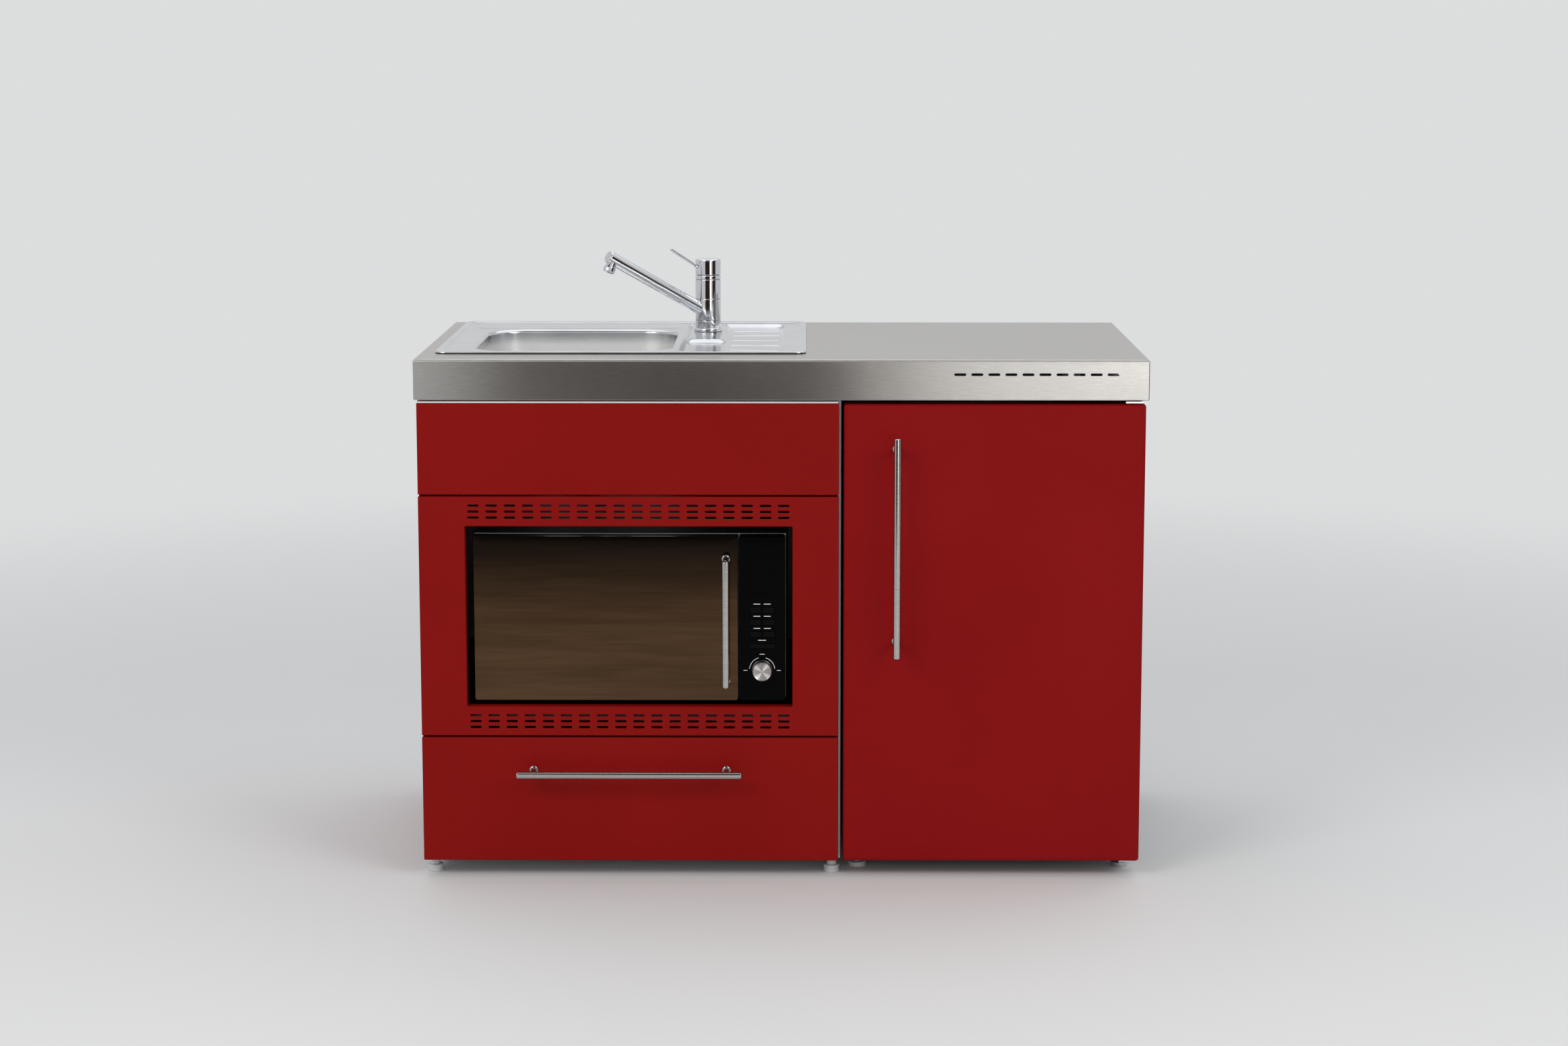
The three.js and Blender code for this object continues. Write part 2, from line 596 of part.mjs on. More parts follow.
// The basket that lifts out of the waste by its knob.
function makeStrainer() {
  const outer = waste.radius - waste.wall - 1;
  const { wall: thick, depth, footRound, lipWidth, stemRadius, stemTaper } = strainer;
  const { knobRadius, knobHeight, knobRound, knobEdge, slots, slotWidth, slotFrom, slotTo } = strainer;
  const seat = clearance * 2 + 2;
  const basket = ringLathe([
    [0, -depth], [outer - footRound, -depth], [outer, footRound - depth], [outer, seat],
    [outer + lipWidth, seat], [outer + lipWidth, seat + thick], [outer - thick, seat + thick],
    [outer - thick, footRound + thick - depth], [outer - footRound - thick, thick - depth],
    [0, thick - depth],
  ], 18);
  const stem = lathe([
    [0, thick / 2 - depth], [stemRadius, thick / 2 - depth], [stemRadius, knobHeight - knobEdge - stemTaper],
    [knobRadius, knobHeight - knobEdge], [knobRadius - knobRound, knobHeight], [0, knobHeight],
  ], 10);
  const cuts = Array.from({ length: slots }, (_, i) => {
    const angle = i / slots * Math.PI * 2;
    const slot = extrude(
      outline(outer * slotFrom, -slotWidth / 2, outer * slotTo, slotWidth / 2), 2 * thick);
    return toSolid(slot.rotateZ(angle).translate(0, 0, -depth - thick / 2));
  });
  return cut(join(basket, stem), cuts);
}

place(sinkGroup, 'sink', makeSink(), finishes.stainless);
place(sinkGroup, 'sink_trap', makeTrap(), finishes.whitePlastic, [0, 0, bowlFloor]);
place(sinkGroup, 'sink_strainer', makeStrainer(), finishes.chrome, [...bowlCentre, bowlFloor]);

// ---------------------------------------------------------------- tap

// The cap tilts on a ball seat. These are the seat's points from the axis, or from a lower level, up to
// an upper level, as [radius, height].
function ballArc(radius, upper, lower, steps) {
  const angleAt = (level) => THREE.MathUtils.radToDeg(Math.acos((capSeat.height - level) / radius));
  const from = lower === null ? 0 : angleAt(lower);
  return arc(0, capSeat.height, radius, from - 90, angleAt(upper) - 90, steps);
}

const capBottom = tapLevels.ring + tapLevels.capGap;
const capSeatRadius = Math.hypot(tap.bodyRadius, capSeat.height - capBottom);

// In the tap's group the spout and the lever point along +x, and z is the height above the worktop.
function makeTapBody() {
  const { shankRadius, shankLength, nutRadius, nutHeight, bodyRadius, coreRadius } = tap;
  const { flangeRadius, flangeRound } = tap;
  const under = deck - sinkSheet - clearance;
  const foot = deck + clearance;
  const column = lathe([
    [0, -shankLength], [shankRadius, -shankLength], [shankRadius, foot], [flangeRadius, foot],
    [flangeRadius, tapLevels.flange - flangeRound], [flangeRadius - flangeRound, tapLevels.flange],
    [bodyRadius, tapLevels.flange], [bodyRadius, tapLevels.base], [coreRadius, tapLevels.base],
    [coreRadius, tapLevels.spout], [bodyRadius, tapLevels.spout], [bodyRadius, tapLevels.body],
    ...ballArc(capSeatRadius + capSeat.play, tapLevels.body, null, 2).reverse(),
  ], 24);
  const nut = lathe([
    [0, under - nutHeight], [nutRadius, under - nutHeight], [nutRadius, under], [0, under],
  ], 6);
  return join(column, nut);
}

// The collar turns on the body's core; the aerator points down from the tube's end.
function makeSpout() {
  const { radius, rootHeight, reach, endHeight, endRound, nutHeight, nutProud, nutLift } = spout;
  const { aeratorRadius, aeratorLength, aeratorFromEnd, aeratorWall, aeratorRecess } = spout;
  const low = tapLevels.base + spoutPlay;
  const high = tapLevels.spout - spoutPlay;
  const bore = tap.coreRadius + spoutPlay;
  const collar = ringLathe([[bore, low], [tap.bodyRadius, low], [tap.bodyRadius, high], [bore, high]], 24);
  const slope = Math.atan2(endHeight - rootHeight, reach);
  const along = (distance, drop) => [
    distance * Math.cos(slope) + drop * Math.sin(slope), 0,
    rootHeight + distance * Math.sin(slope) - drop * Math.cos(slope),
  ];
  const length = Math.hypot(reach, endHeight - rootHeight);
  const arm = join(
    rod(radius, along(bore, 0), along(length - endRound, 0), 16),
    rod(radius, along(length - endRound, 0), along(length, 0), 16, radius - endRound));
  const outlet = length - aeratorRadius - aeratorFromEnd;
  const nutBottom = aeratorLength - nutLift;
  const aerator = cut(
    join(
      rod(aeratorRadius, along(outlet, 0), along(outlet, aeratorLength), 12),
      rod(aeratorRadius + nutProud, along(outlet, nutBottom - nutHeight), along(outlet, nutBottom), 12)),
    rod(aeratorRadius - aeratorWall,
      along(outlet, aeratorLength - aeratorRecess), along(outlet, aeratorLength + 1), 10));
  return cut(join(collar, arm, aerator), rod(bore, [0, 0, 0], [0, 0, tapLevels.body], 24));
}

// A ring with a ball seat in it, which turns with the cap to set the temperature.
function makeTapRing() {
  const low = tapLevels.body + clearance;
  return ringLathe([
    [tap.bodyRadius, low], [tap.bodyRadius, tapLevels.ring],
    ...ballArc(capSeatRadius + capSeat.play, tapLevels.ring, low, 2).reverse(),
  ], 24);
}

const leverSlope = THREE.MathUtils.degToRad(lever.rise);
const leverPoint = (distance) => [
  distance * Math.cos(leverSlope), 0,
  lever.rootHeight + (distance - tap.bodyRadius) * Math.sin(leverSlope),
];

function makeTapCap() {
  const radius = tap.bodyRadius;
  const top = tapLevels.cap;
  const drum = lathe([
    ...ballArc(capSeatRadius, capBottom, null, 3), [radius, top - capRound], [radius - capRound, top],
    [0, top],
  ], 24);
  const hole = rod(
    lever.radius + clearance, leverPoint(radius - lever.socket), leverPoint(radius + lever.socket), 10);
  const screwHeight = lever.rootHeight - grubScrew.below;
  const screw = rod(grubScrew.radius,
    [radius - grubScrew.inset, 0, screwHeight], [radius + grubScrew.proud, 0, screwHeight], 8);
  return cut(join(drum, screw), hole);
}

function makeLever() {
  const root = tap.bodyRadius - lever.inset;
  const tip = tap.bodyRadius + lever.length;
  return join(
    rod(lever.radius, leverPoint(root), leverPoint(tip - lever.endRound), 10),
    rod(lever.radius, leverPoint(tip - lever.endRound), leverPoint(tip), 10,
      lever.radius - lever.endRound));
}

place(tapGroup, 'tap_body', makeTapBody(), finishes.chrome);
place(tapGroup, 'tap_spout', makeSpout(), finishes.chrome);
place(tapGroup, 'tap_cap_ring', makeTapRing(), finishes.chrome);
place(tapGroup, 'tap_cap', makeTapCap(), finishes.chrome);
place(tapGroup, 'tap_lever', makeLever(), finishes.chrome);

// ---------------------------------------------------------------- cabinet

// A side is a thin folded tray, open towards the inside, with upright ribs that carry the fittings.
function makeSide(outerX, innerX) {
  const [x0, x1] = [Math.min(outerX, innerX), Math.max(outerX, innerX)];
  const top = underTop - clearance;
  const slab = layered([bodyFront, cabinet.footHeight, bodyBack, top], 1, [[0, x0], [0, x1]],
    (a, b, level) => [level, a, b], 1);
  const pockets = 3;
  const span = (bodyBack - bodyFront - (pockets + 1) * cabinet.ribWidth) / pockets;
  const skin = Math.sign(innerX - outerX) * cabinetSheet;
  const pocket = (i) => {
    const y = bodyFront + cabinet.ribWidth + i * (span + cabinet.ribWidth);
    const [a, b] = [outerX + skin, innerX + skin].sort((p, q) => p - q);
    return block([a, y, cabinet.footHeight + cabinet.ribWidth], [b, y + span, top - cabinet.ribWidth]);
  };
  return cut(slab, ...Array.from({ length: pockets }, (_, i) => pocket(i)));
}

// A board folded down on its four edges.
function makeTray(z, height, y0, y1) {
  const x0 = innerLeft + clearance;
  const x1 = innerRight - clearance;
  return cut(
    block([x0, y0, z - height], [x1, y1, z]),
    block([x0 + cabinetSheet, y0 + cabinetSheet, z - height - 1],
      [x1 - cabinetSheet, y1 - cabinetSheet, z - cabinetSheet]));
}

function makeBack() {
  const middle = sink.x + bowlCentre[0] + trap.legGap / 2;
  const top = worktop.height - serviceOpening.below;
  const half = serviceOpening.width / 2;
  return wall(
    outline(innerLeft + clearance, cabinet.footHeight, innerRight - clearance, underTop - clearance),
    bodyBack - cabinetSheet, bodyBack,
    [outline(middle - half, top - serviceOpening.height, middle + half, top, serviceOpening.corner, 3)]);
}

// The front rail is a channel, open to the back. Its face shows above the sink's front panel.
function makeRail() {
  const z0 = apronBottom - cabinet.railBelowApron;
  const z1 = underTop - clearance;
  const [x0, x1] = [innerLeft + clearance, innerRight - clearance];
  return cut(
    block([x0, bodyFront, z0], [x1, bodyFront + cabinet.railDepth, z1]),
    block([x0 - 1, bodyFront + cabinetSheet, z0 + cabinetSheet],
      [x1 + 1, bodyFront + cabinet.railDepth + 1, z1 - cabinetSheet]));
}

function makeFoot() {
  const top = cabinet.footHeight - clearance;
  return lathe([
    [0, 0], [foot.radius - 1, 0], [foot.radius, 1], [foot.radius, foot.height],
    [foot.neckRadius, foot.height], [foot.neckRadius, top],
    [foot.stemRadius, top], [foot.stemRadius, top + foot.stemReach], [0, top + foot.stemReach],
  ], 10);
}

place(unit, 'side_left', makeSide(cabinetLeft, innerLeft), finishes.redPaint);
place(unit, 'side_right', makeSide(cabinetRight, innerRight), finishes.greyPaint);
place(unit, 'cabinet_floor',
  makeTray(cabinet.footHeight + cabinet.floorHeight, cabinet.floorHeight, bodyFront,
    bodyBack - cabinetSheet - clearance), finishes.zinc);
place(unit, 'microwave_shelf',
  makeTray(shelfTop, cabinet.floorHeight, bodyFront, bodyBack - cabinetSheet - clearance), finishes.zinc);
place(unit, 'cabinet_back', makeBack(), finishes.zinc);
place(unit, 'front_rail', makeRail(), finishes.greyPaint);
const footPlaces = {
  foot_front_left: [cabinetLeft + foot.sideInset, bodyFront + foot.depthInset - front.thickness],
  foot_front_right: [cabinetRight - foot.sideInset, bodyFront + foot.depthInset - front.thickness],
  foot_rear_left: [cabinetLeft + foot.sideInset, bodyBack - foot.depthInset],
  foot_rear_right: [cabinetRight - foot.sideInset, bodyBack - foot.depthInset],
};
for (const [name, [x, y]] of Object.entries(footPlaces)) {
  place(unit, name, makeFoot(), finishes.greyPlastic, [x, y, 0]);
}

// ---------------------------------------------------------------- fronts

function makeSinkPanel() {
  return foldedFront(cabinetLeft, frontsRight, surroundTop + front.gap, frontsTop,
    front.thickness, cabinetSheet, front.edgeRadius);
}

// The microwave's surround: a folded front with a framed opening and a grille of slots above and below
// it. The grille stands in the middle of each band.
function makeSurround() {
  const centreX = (cabinetLeft + frontsRight) / 2;
  const centreZ = (surroundBottom + surroundTop) / 2;
  const { openingWidth, openingHeight, corner } = surround;
  const { columns, rows, length, height, pitchAcross, pitchUp } = surroundSlots;
  const band = (surround.height - openingHeight) / 2;
  const slots = [surroundTop - band / 2, surroundBottom + band / 2].flatMap((middle) => (
    Array.from({ length: rows * columns }, (_, i) => {
      const x = centreX + (i % columns - (columns - 1) / 2) * pitchAcross;
      const z = middle + (Math.floor(i / columns) - (rows - 1) / 2) * pitchUp;
      return block([x - length / 2, -1, z - height / 2], [x + length / 2, cabinetSheet + 1, z + height / 2]);
    })));
  const tray = foldedFront(cabinetLeft, frontsRight, surroundBottom, surroundTop,
    front.thickness, cabinetSheet, front.edgeRadius);
  const around = (grow) => outline(
    centreX - openingWidth / 2 - grow, centreZ - openingHeight / 2 - grow,
    centreX + openingWidth / 2 + grow, centreZ + openingHeight / 2 + grow, corner + grow, 2);
  const frame = wall(around(cabinetSheet), cabinetSheet / 2, front.thickness);
  return cut(join(tray, frame), wall(around(0), -1, front.thickness + 1), slots);
}

const atFronts = [0, front.setback, 0];
place(unit, 'sink_front_panel', makeSinkPanel(), finishes.redPaint, atFronts);
place(unit, 'microwave_surround', makeSurround(), finishes.redPaint, atFronts);

// ---------------------------------------------------------------- drawer

// In the drawer's group y runs from the front's face and z from the front's lower edge.
const boxLeft = innerLeft + runner.thickness;
const boxRight = innerRight - runner.thickness;
const boxFront = front.thickness + clearance;

function makeDrawerFront() {
  return foldedFront(cabinetLeft, frontsRight, 0, drawer.frontHeight,
    front.thickness, cabinetSheet, front.edgeRadius);
}

// The box is a folded tray with a lip turned inwards round its top.
function makeDrawerBox() {
  const { boxHeight, boxDepth, boxLift, lipWidth } = drawer;
  const top = boxLift + boxHeight;
  const low = [boxLeft, boxFront, boxLift];
  const high = [boxRight, boxFront + boxDepth, top];
  const t = cabinetSheet;
  return cut(
    block(low, high),
    block([boxLeft + t, boxFront + t, boxLift + t], [boxRight - t, boxFront + boxDepth - t, top - t]),
    block([boxLeft + lipWidth, boxFront + lipWidth, top - 2 * t],
      [boxRight - lipWidth, boxFront + boxDepth - lipWidth, top + 1]));
}

// A channel whose web stands at x = 0 and whose flanges reach along +x.
function makeChannel(height, reach) {
  const { sheet, length } = runner;
  const half = height / 2;
  return cut(
    block([0, 0, -half], [reach, length, half]),
    block([sheet, -1, sheet - half], [reach + 1, length + 1, half - sheet]));
}

place(drawerGroup, 'drawer_front', makeDrawerFront(), finishes.redPaint);
place(drawerGroup, 'drawer_box', makeDrawerBox(), finishes.zinc);
place(drawerGroup, 'drawer_handle', barHandle(drawerHandle.length, handle.postSpacing), finishes.brushedSteel,
  [(cabinetLeft + frontsRight) / 2, 0, drawerHandle.height]);
const runnerZ = drawer.boxLift + runner.lift;
const slideHeight = runner.height - 2 * (runner.sheet + runner.play);
const channelReach = runner.thickness - 2 * (clearance + runner.play) - runner.sheet;
const runnerPlaces = [['left', innerLeft, boxLeft, 0], ['right', innerRight, boxRight, Math.PI]];
for (const [side, wallX, boxX, turn] of runnerPlaces) {
  const inward = turn === 0 ? 1 : -1;
  const start = turn === 0 ? boxFront : boxFront + runner.length;
  place(drawerGroup, `runner_cabinet_${side}`, makeChannel(runner.height, channelReach), finishes.zinc,
    [wallX + inward * clearance, start, runnerZ], [0, 0, turn]);
  place(drawerGroup, `runner_drawer_${side}`, makeChannel(slideHeight, channelReach), finishes.zinc,
    [boxX - inward * clearance, turn === 0 ? boxFront + runner.length : boxFront, runnerZ],
    [0, 0, turn + Math.PI]);
}

// ---------------------------------------------------------------- microwave oven

// In the oven's group x runs from the door's left edge, y from its face and z from its lower edge.
const ovenDoorWidth = microwave.width - microwave.panelWidth - microwave.doorGap;
const ovenDoorBack = microwave.doorThickness;
const ovenPlate = ovenDoorBack + microwave.sealGap;
const ovenMiddle = [oven.x + oven.width / 2, ovenPlate + oven.depth / 2];
const pivot = [doorPivot.inset, doorPivot.depth];

// The casing is open at the front, slotted at the back, and stands on four feet.
function makeCasing() {
  const { width, height, margin, skin, bodyDepth, feet, footRadius, footInset } = microwave;
  const back = ovenPlate + bodyDepth;
  const shell = cut(
    block([-margin, ovenPlate, -margin], [width + margin, back, height + margin]),
    block(
      [skin - margin, ovenPlate - 1, skin - margin],
      [width + margin - skin, back - skin, height + margin - skin]));
  const slots = Array.from({ length: casingSlots.count }, (_, i) => {
    const x = casingSlots.x + i * casingSlots.pitch;
    return block(
      [x, back - 2 * skin, casingSlots.z],
      [x + casingSlots.width, back + 1, casingSlots.z + casingSlots.height]);
  });
  const across = [footInset, width - footInset];
  const along = [ovenPlate + footInset, back - footInset];
  const legs = across.flatMap((x) => along.map((y) => (
    rod(footRadius, [x, y, -margin - feet], [x, y, -margin + skin / 2], 10))));
  return cut(join(shell, legs), slots);
}

// The ears that hold the door's pins stand in front of the cavity's plate.
function earHeights() {
  const low = doorPivot.earHeight + 2;
  return [low, microwave.height - low - doorPivot.earHeight];
}

function makeCavity() {
  const { width, height, margin, skin } = microwave;
  const edge = skin + clearance - margin;
  const [x0, x1, z0, z1] = [oven.x, oven.x + oven.width, oven.z, oven.z + oven.height];
  const back = ovenPlate + oven.depth;
  const faceplate = block([edge, ovenPlate, edge], [width - edge, ovenPlate + skin, height - edge]);
  const chamber = block([x0 - skin, ovenPlate, z0 - skin], [x1 + skin, back + skin, z1 + skin]);
  const space = block([x0, ovenPlate - 1, z0], [x1, back, z1]);
  const ears = earHeights().map((z) => {
    const ear = join(
      rod(doorPivot.earWidth / 2, [...pivot, z], [...pivot, z + doorPivot.earHeight], 16),
      block([pivot[0] - doorPivot.earWidth / 2, pivot[1], z],
        [pivot[0] + doorPivot.earWidth / 2, ovenPlate + skin / 2, z + doorPivot.earHeight]));
    return cut(ear, rod(doorPivot.pinRadius + doorPivot.play, [...pivot, z - 1],
      [...pivot, z + doorPivot.earHeight + 1], 16));
  });
  const hubHole = rod(turntable.hubRadius + 2, [...ovenMiddle, z0 - skin - 1], [...ovenMiddle, z0 + 1], 20);
  return cut(join(faceplate, chamber, ears), space, hubHole);
}

// The frame behind the glass, with a rounded hinge edge, notches for the ears and a pin across each.
function makeDoorFrame() {
  const { height } = microwave;
  const y0 = doorGlass + clearance;
  const full = block([0, y0, 0], [ovenDoorWidth, ovenDoorBack, height]);
  const beyond = join(
    block([pivot[0], y0 - 1, -1], [ovenDoorWidth + 1, ovenDoorBack + 1, height + 1]),
    rod(doorPivot.edgeRadius, [...pivot, -1], [...pivot, height + 1], 24));
  const window = wall(
    outline(
      doorWindow.side, doorWindow.top, ovenDoorWidth - doorWindow.side, height - doorWindow.top,
      doorWindow.corner),
    y0 - 1, ovenDoorBack + 1);
  const recess = wall(
    outline(
      oven.x - doorRecess.side, oven.z + doorRecess.top,
      oven.x + oven.width + doorRecess.side, oven.z + oven.height - doorRecess.top, doorRecess.corner),
    ovenDoorBack - doorRecess.depth, ovenDoorBack + 1);
  const { room } = doorPivot; // above and below an ear
  const notches = earHeights().map((z) => block(
    [-1, y0 - 1, z - room],
    [pivot[0] + doorPivot.earWidth / 2 + 1, ovenDoorBack + 1, z + doorPivot.earHeight + room]));
  const pins = earHeights().map((z) => rod(doorPivot.pinRadius,
    [...pivot, z - room - 1], [...pivot, z + doorPivot.earHeight + room + 1], 16));
  return join(cut(full.intersect(beyond), window, recess, notches), pins);
}

function makeDoorGlass() {
  const { height, faceCorner, faceEdge } = microwave;
  return layered([0, 0, ovenDoorWidth, height], faceCorner,
    [[faceEdge, 0], [0, faceEdge], [0, doorGlass]], facingFront, 2);
}

// The turntable's boss passes through the cavity's floor to its drive.
function makeTurntable() {
  const { radius, thickness, rim, rimWidth, rimTop, hubRadius, hubDepth, bossRadius, lift } = turntable;
  return lathe([
    [0, -hubDepth], [hubRadius, -hubDepth], [hubRadius, clearance], [bossRadius, clearance],
    [bossRadius, lift], [radius - rimWidth, lift], [radius, lift + rim], [radius, lift + rim + rimTop],
    [radius - rimTop, lift + rim + rimTop], [radius - rimWidth - 2, lift + thickness],
    [0, lift + thickness],
  ], 24);
}

// Three wheels on a ring roll between the cavity's floor and the turntable.
function makeRollers() {
  const { ringRadius, ringWidth, ringHeight, wheelRadius, wheelWidth, count } = rollers;
  const [r0, r1] = [ringRadius - ringWidth / 2, ringRadius + ringWidth / 2];
  const z0 = wheelRadius + clearance - ringHeight / 2;
  const ring = ringLathe([[r0, z0], [r1, z0], [r1, z0 + ringHeight], [r0, z0 + ringHeight]], 24);
  const wheels = Array.from({ length: count }, (_, i) => {
    const angle = i / count * Math.PI * 2;
    const at = (radius) => [radius * Math.cos(angle), radius * Math.sin(angle), wheelRadius + clearance];
    return rod(wheelRadius, at(r1 - 1), at(r1 - 1 + wheelWidth), 12);
  });
  return join(ring, wheels);
}

// The control panel, in x from its own left edge: a shell with a hole for each button and for the knob.
const panelX = ovenDoorWidth + microwave.doorGap;
const buttonPlaces = buttonRows.flatMap((z, row) => [-1, 1].map((side, column) => ({
  name: `button_${row * 2 + column + 1}`,
  x: microwave.panelWidth / 2 + side * button.spacing / 2,
  z,
  width: button.width,
  height: button.height,
})));
buttonPlaces.push({
  name: 'button_start', x: microwave.panelWidth / 2, z: startButton.row,
  width: startButton.width, height: startButton.height,
});

function makePanel() {
  const { panelWidth, height, faceCorner, faceEdge } = microwave;
  const { wall: thick, displayWidth, displayHeight, displayTop, displayDepth } = panel;
  const depth = ovenPlate - clearance;
  const shell = cut(
    layered([0, 0, panelWidth, height], faceCorner,
      [[faceEdge, 0], [0, faceEdge], [0, depth]], facingFront, 2),
    block([thick, thick, thick], [panelWidth - thick, depth + 1, height - thick]));
  const middle = panelWidth / 2;
  const display = wall(
    outline(middle - displayWidth / 2, height - displayTop - displayHeight,
      middle + displayWidth / 2, height - displayTop, 2, 2), -1, displayDepth);
  const holes = buttonPlaces.map(({ x, z, width, height: tall }) => block(
    [x - width / 2 - button.play, -1, z - tall / 2 - button.play],
    [x + width / 2 + button.play, thick + 1, z + tall / 2 + button.play]));
  const shaftHole = rod(
    knob.shaftRadius + knob.play, [middle, -1, knob.row], [middle, thick + 1, knob.row], 16);
  return cut(shell, display, holes, shaftHole);
}

// A button: a rounded key with a flange behind the panel that keeps it in.
function makeButton({ width, height }) {
  const behind = panel.wall + clearance;
  const key = layered([-width / 2, -height / 2, width / 2, height / 2], 1.5,
    [[0.6, -button.proud], [0, 0.6 - button.proud], [0, button.thickness]], facingFront, 1);
  const flange = block(
    [-width / 2 - button.flange, behind, -height / 2 - button.flange],
    [width / 2 + button.flange, button.thickness, height / 2 + button.flange]);
  return join(key, flange);
}

// The knob's skirt widens towards the panel; its face is dished.
function makeKnob() {
  const { radius, height, shaftRadius, shaftLength, play, faceRadius } = knob;
  return toSolid(new THREE.LatheGeometry([
    [0, -shaftLength], [shaftRadius, -shaftLength], [shaftRadius, play], [radius, play],
    [radius, height - 3], [radius - 1.2, height - 1], [faceRadius, height], [faceRadius - 2, height - 0.6],
    [0, height - 0.6],
  ].map(([r, h]) => new THREE.Vector2(r, h)), 20).rotateX(Math.PI));
}

place(ovenGroup, 'microwave_casing', makeCasing(), finishes.blackPaint);
place(ovenGroup, 'microwave_cavity', makeCavity(), finishes.greyPaint);
place(ovenGroup, 'microwave_door_frame', makeDoorFrame(), finishes.blackGloss);
place(ovenGroup, 'microwave_door_glass', makeDoorGlass(), finishes.mirrorGlass);
place(ovenGroup, 'microwave_handle', barHandle(ovenHandle.length, ovenHandle.postSpacing),
  finishes.brushedSteel,
  [ovenDoorWidth - ovenHandle.fromDoorEdge, 0, microwave.height / 2 - ovenHandle.belowMiddle],
  [0, Math.PI / 2, 0]);
place(ovenGroup, 'turntable', makeTurntable(), finishes.glass, [...ovenMiddle, oven.z]);
place(ovenGroup, 'roller_ring', makeRollers(), finishes.whitePlastic, [...ovenMiddle, oven.z]);
const panelGroup = groupAt(panelX, 0, 0, ovenGroup);
place(panelGroup, 'microwave_control_panel', makePanel(), finishes.blackGloss);
place(panelGroup, 'microwave_knob', makeKnob(), finishes.brushedSteel,
  [microwave.panelWidth / 2, 0, knob.row]);
for (const item of buttonPlaces) {
  place(panelGroup, item.name, makeButton(item), finishes.blackGloss, [item.x, 0, item.z]);
}

// ---------------------------------------------------------------- fridge

// In the fridge's group x runs from its left side, y from the door's face and z from the body's underside.
function makeFridgeCabinet() {
  const { width, skin, wall: side, floorWall } = fridge;
  const inside = side - liner.sheet - clearance;
  const body = cut(
    block([0, fridgeFront, 0], [width, fridgeBack, fridgeHeight]),
    block([skin, fridgeFront + skin, skin], [width - skin, nicheFront - skin, fridgeHeight - skin]),
    block(
      [skin, nicheFront - 2 * skin, niche.height + skin],
      [width - skin, fridgeBack - skin, fridgeHeight - skin]),
    block([skin, nicheFront, skin], [width - skin, fridgeBack + 1, niche.height]),
    block([inside, fridgeFront - 1, floorWall - liner.sheet - clearance],
      [width - inside, fridgeFront + skin + 1, fridgeHeight - inside]));
  const { rearRadius } = fridgeFoot;
  const rearFeet = [fridgeFoot.sideInset, width - fridgeFoot.sideInset].map((x) => (
    rod(rearRadius, [x, fridgeBack - 2 * rearRadius, -cabinet.footHeight],
      [x, fridgeBack - 2 * rearRadius, skin / 2], 16)));
  return join(body, rearFeet);
}

// The liner's space, with a step over the compressor. It grows by the sheet for the liner's outside.
function linerSpace(grow, front) {
  const { width, wall: side, floorWall } = fridge;
  const top = fridgeHeight - side;
  return join(
    block([side - grow, front, floorWall - grow], [width - side + grow, stepFront + grow, top + grow]),
    block([side - grow, front, niche.height + niche.insulation - grow],
      [width - side + grow, shelfBack + grow, top + grow]));
}

const shelfPlaces = Object.entries(shelfHeights);

function makeLiner() {
  const { width, wall: side } = fridge;
  const { ribWidth, ribHeight, ribBackInset } = liner;
  const ribFront = fridgeFront + glassShelf.front + glassShelf.trim + 2;
  const ribSpans = [[side - 1, side + ribWidth], [width - side - ribWidth, width - side + 1]];
  const ribs = shelfPlaces.flatMap(([, z]) => ribSpans.map(([x0, x1]) => (
    block([x0, ribFront, z - ribHeight], [x1, shelfBack - ribBackInset, z - clearance]))));
  const spindle = rod(dial.spindleRadius,
    [width - side + 1, dial.y, dial.z], [width - side - dial.thickness + 4, dial.y, dial.z], 16);
  const pan = cut(linerSpace(liner.sheet, fridgeFront), linerSpace(0, fridgeFront - 1));
  return join(pan, ribs, spindle);
}

function makeShelf() {
  const { width, wall: side } = fridge;
  const { thickness, front: start, trim, play } = glassShelf;
  const [x0, x1] = [side + play, width - side - play];
  const y0 = fridgeFront + start;
  const rounded = profile([
    [y0 + trim, 0], [shelfBack - 2, 0], [shelfBack - 2, thickness], [y0 + trim, thickness],
    ...arc(y0 + trim / 2, thickness / 2, trim / 2, 45, 315, 8),
  ], x0, x1);
  return rounded;
}

// The crisper is a bin with a draft, chamfered at its floor, and a finger lip at the front.
function makeCrisper() {
  const { width, wall: side } = fridge;
  const { wall: thick, height, play, draft, corner, lip, lipHalf } = crisper;
  const chamfer = 3 * draft;
  const around = [side + play, 0, width - side - play, crisperLength];
  const levels = (skin) => [
    [chamfer + skin, skin], [draft + skin, chamfer + skin], [skin, height + Math.sign(skin)],
  ];
  const outer = layered(around, corner, levels(0), undefined, 3);
  const inner = layered(around, corner, levels(thick), undefined, 3);
  const grip = block(
    [width / 2 - lipHalf, -lip, height - 6 * thick], [width / 2 + lipHalf, thick / 2, height - 4 * thick]);
  return cut(join(outer, grip), inner);
}

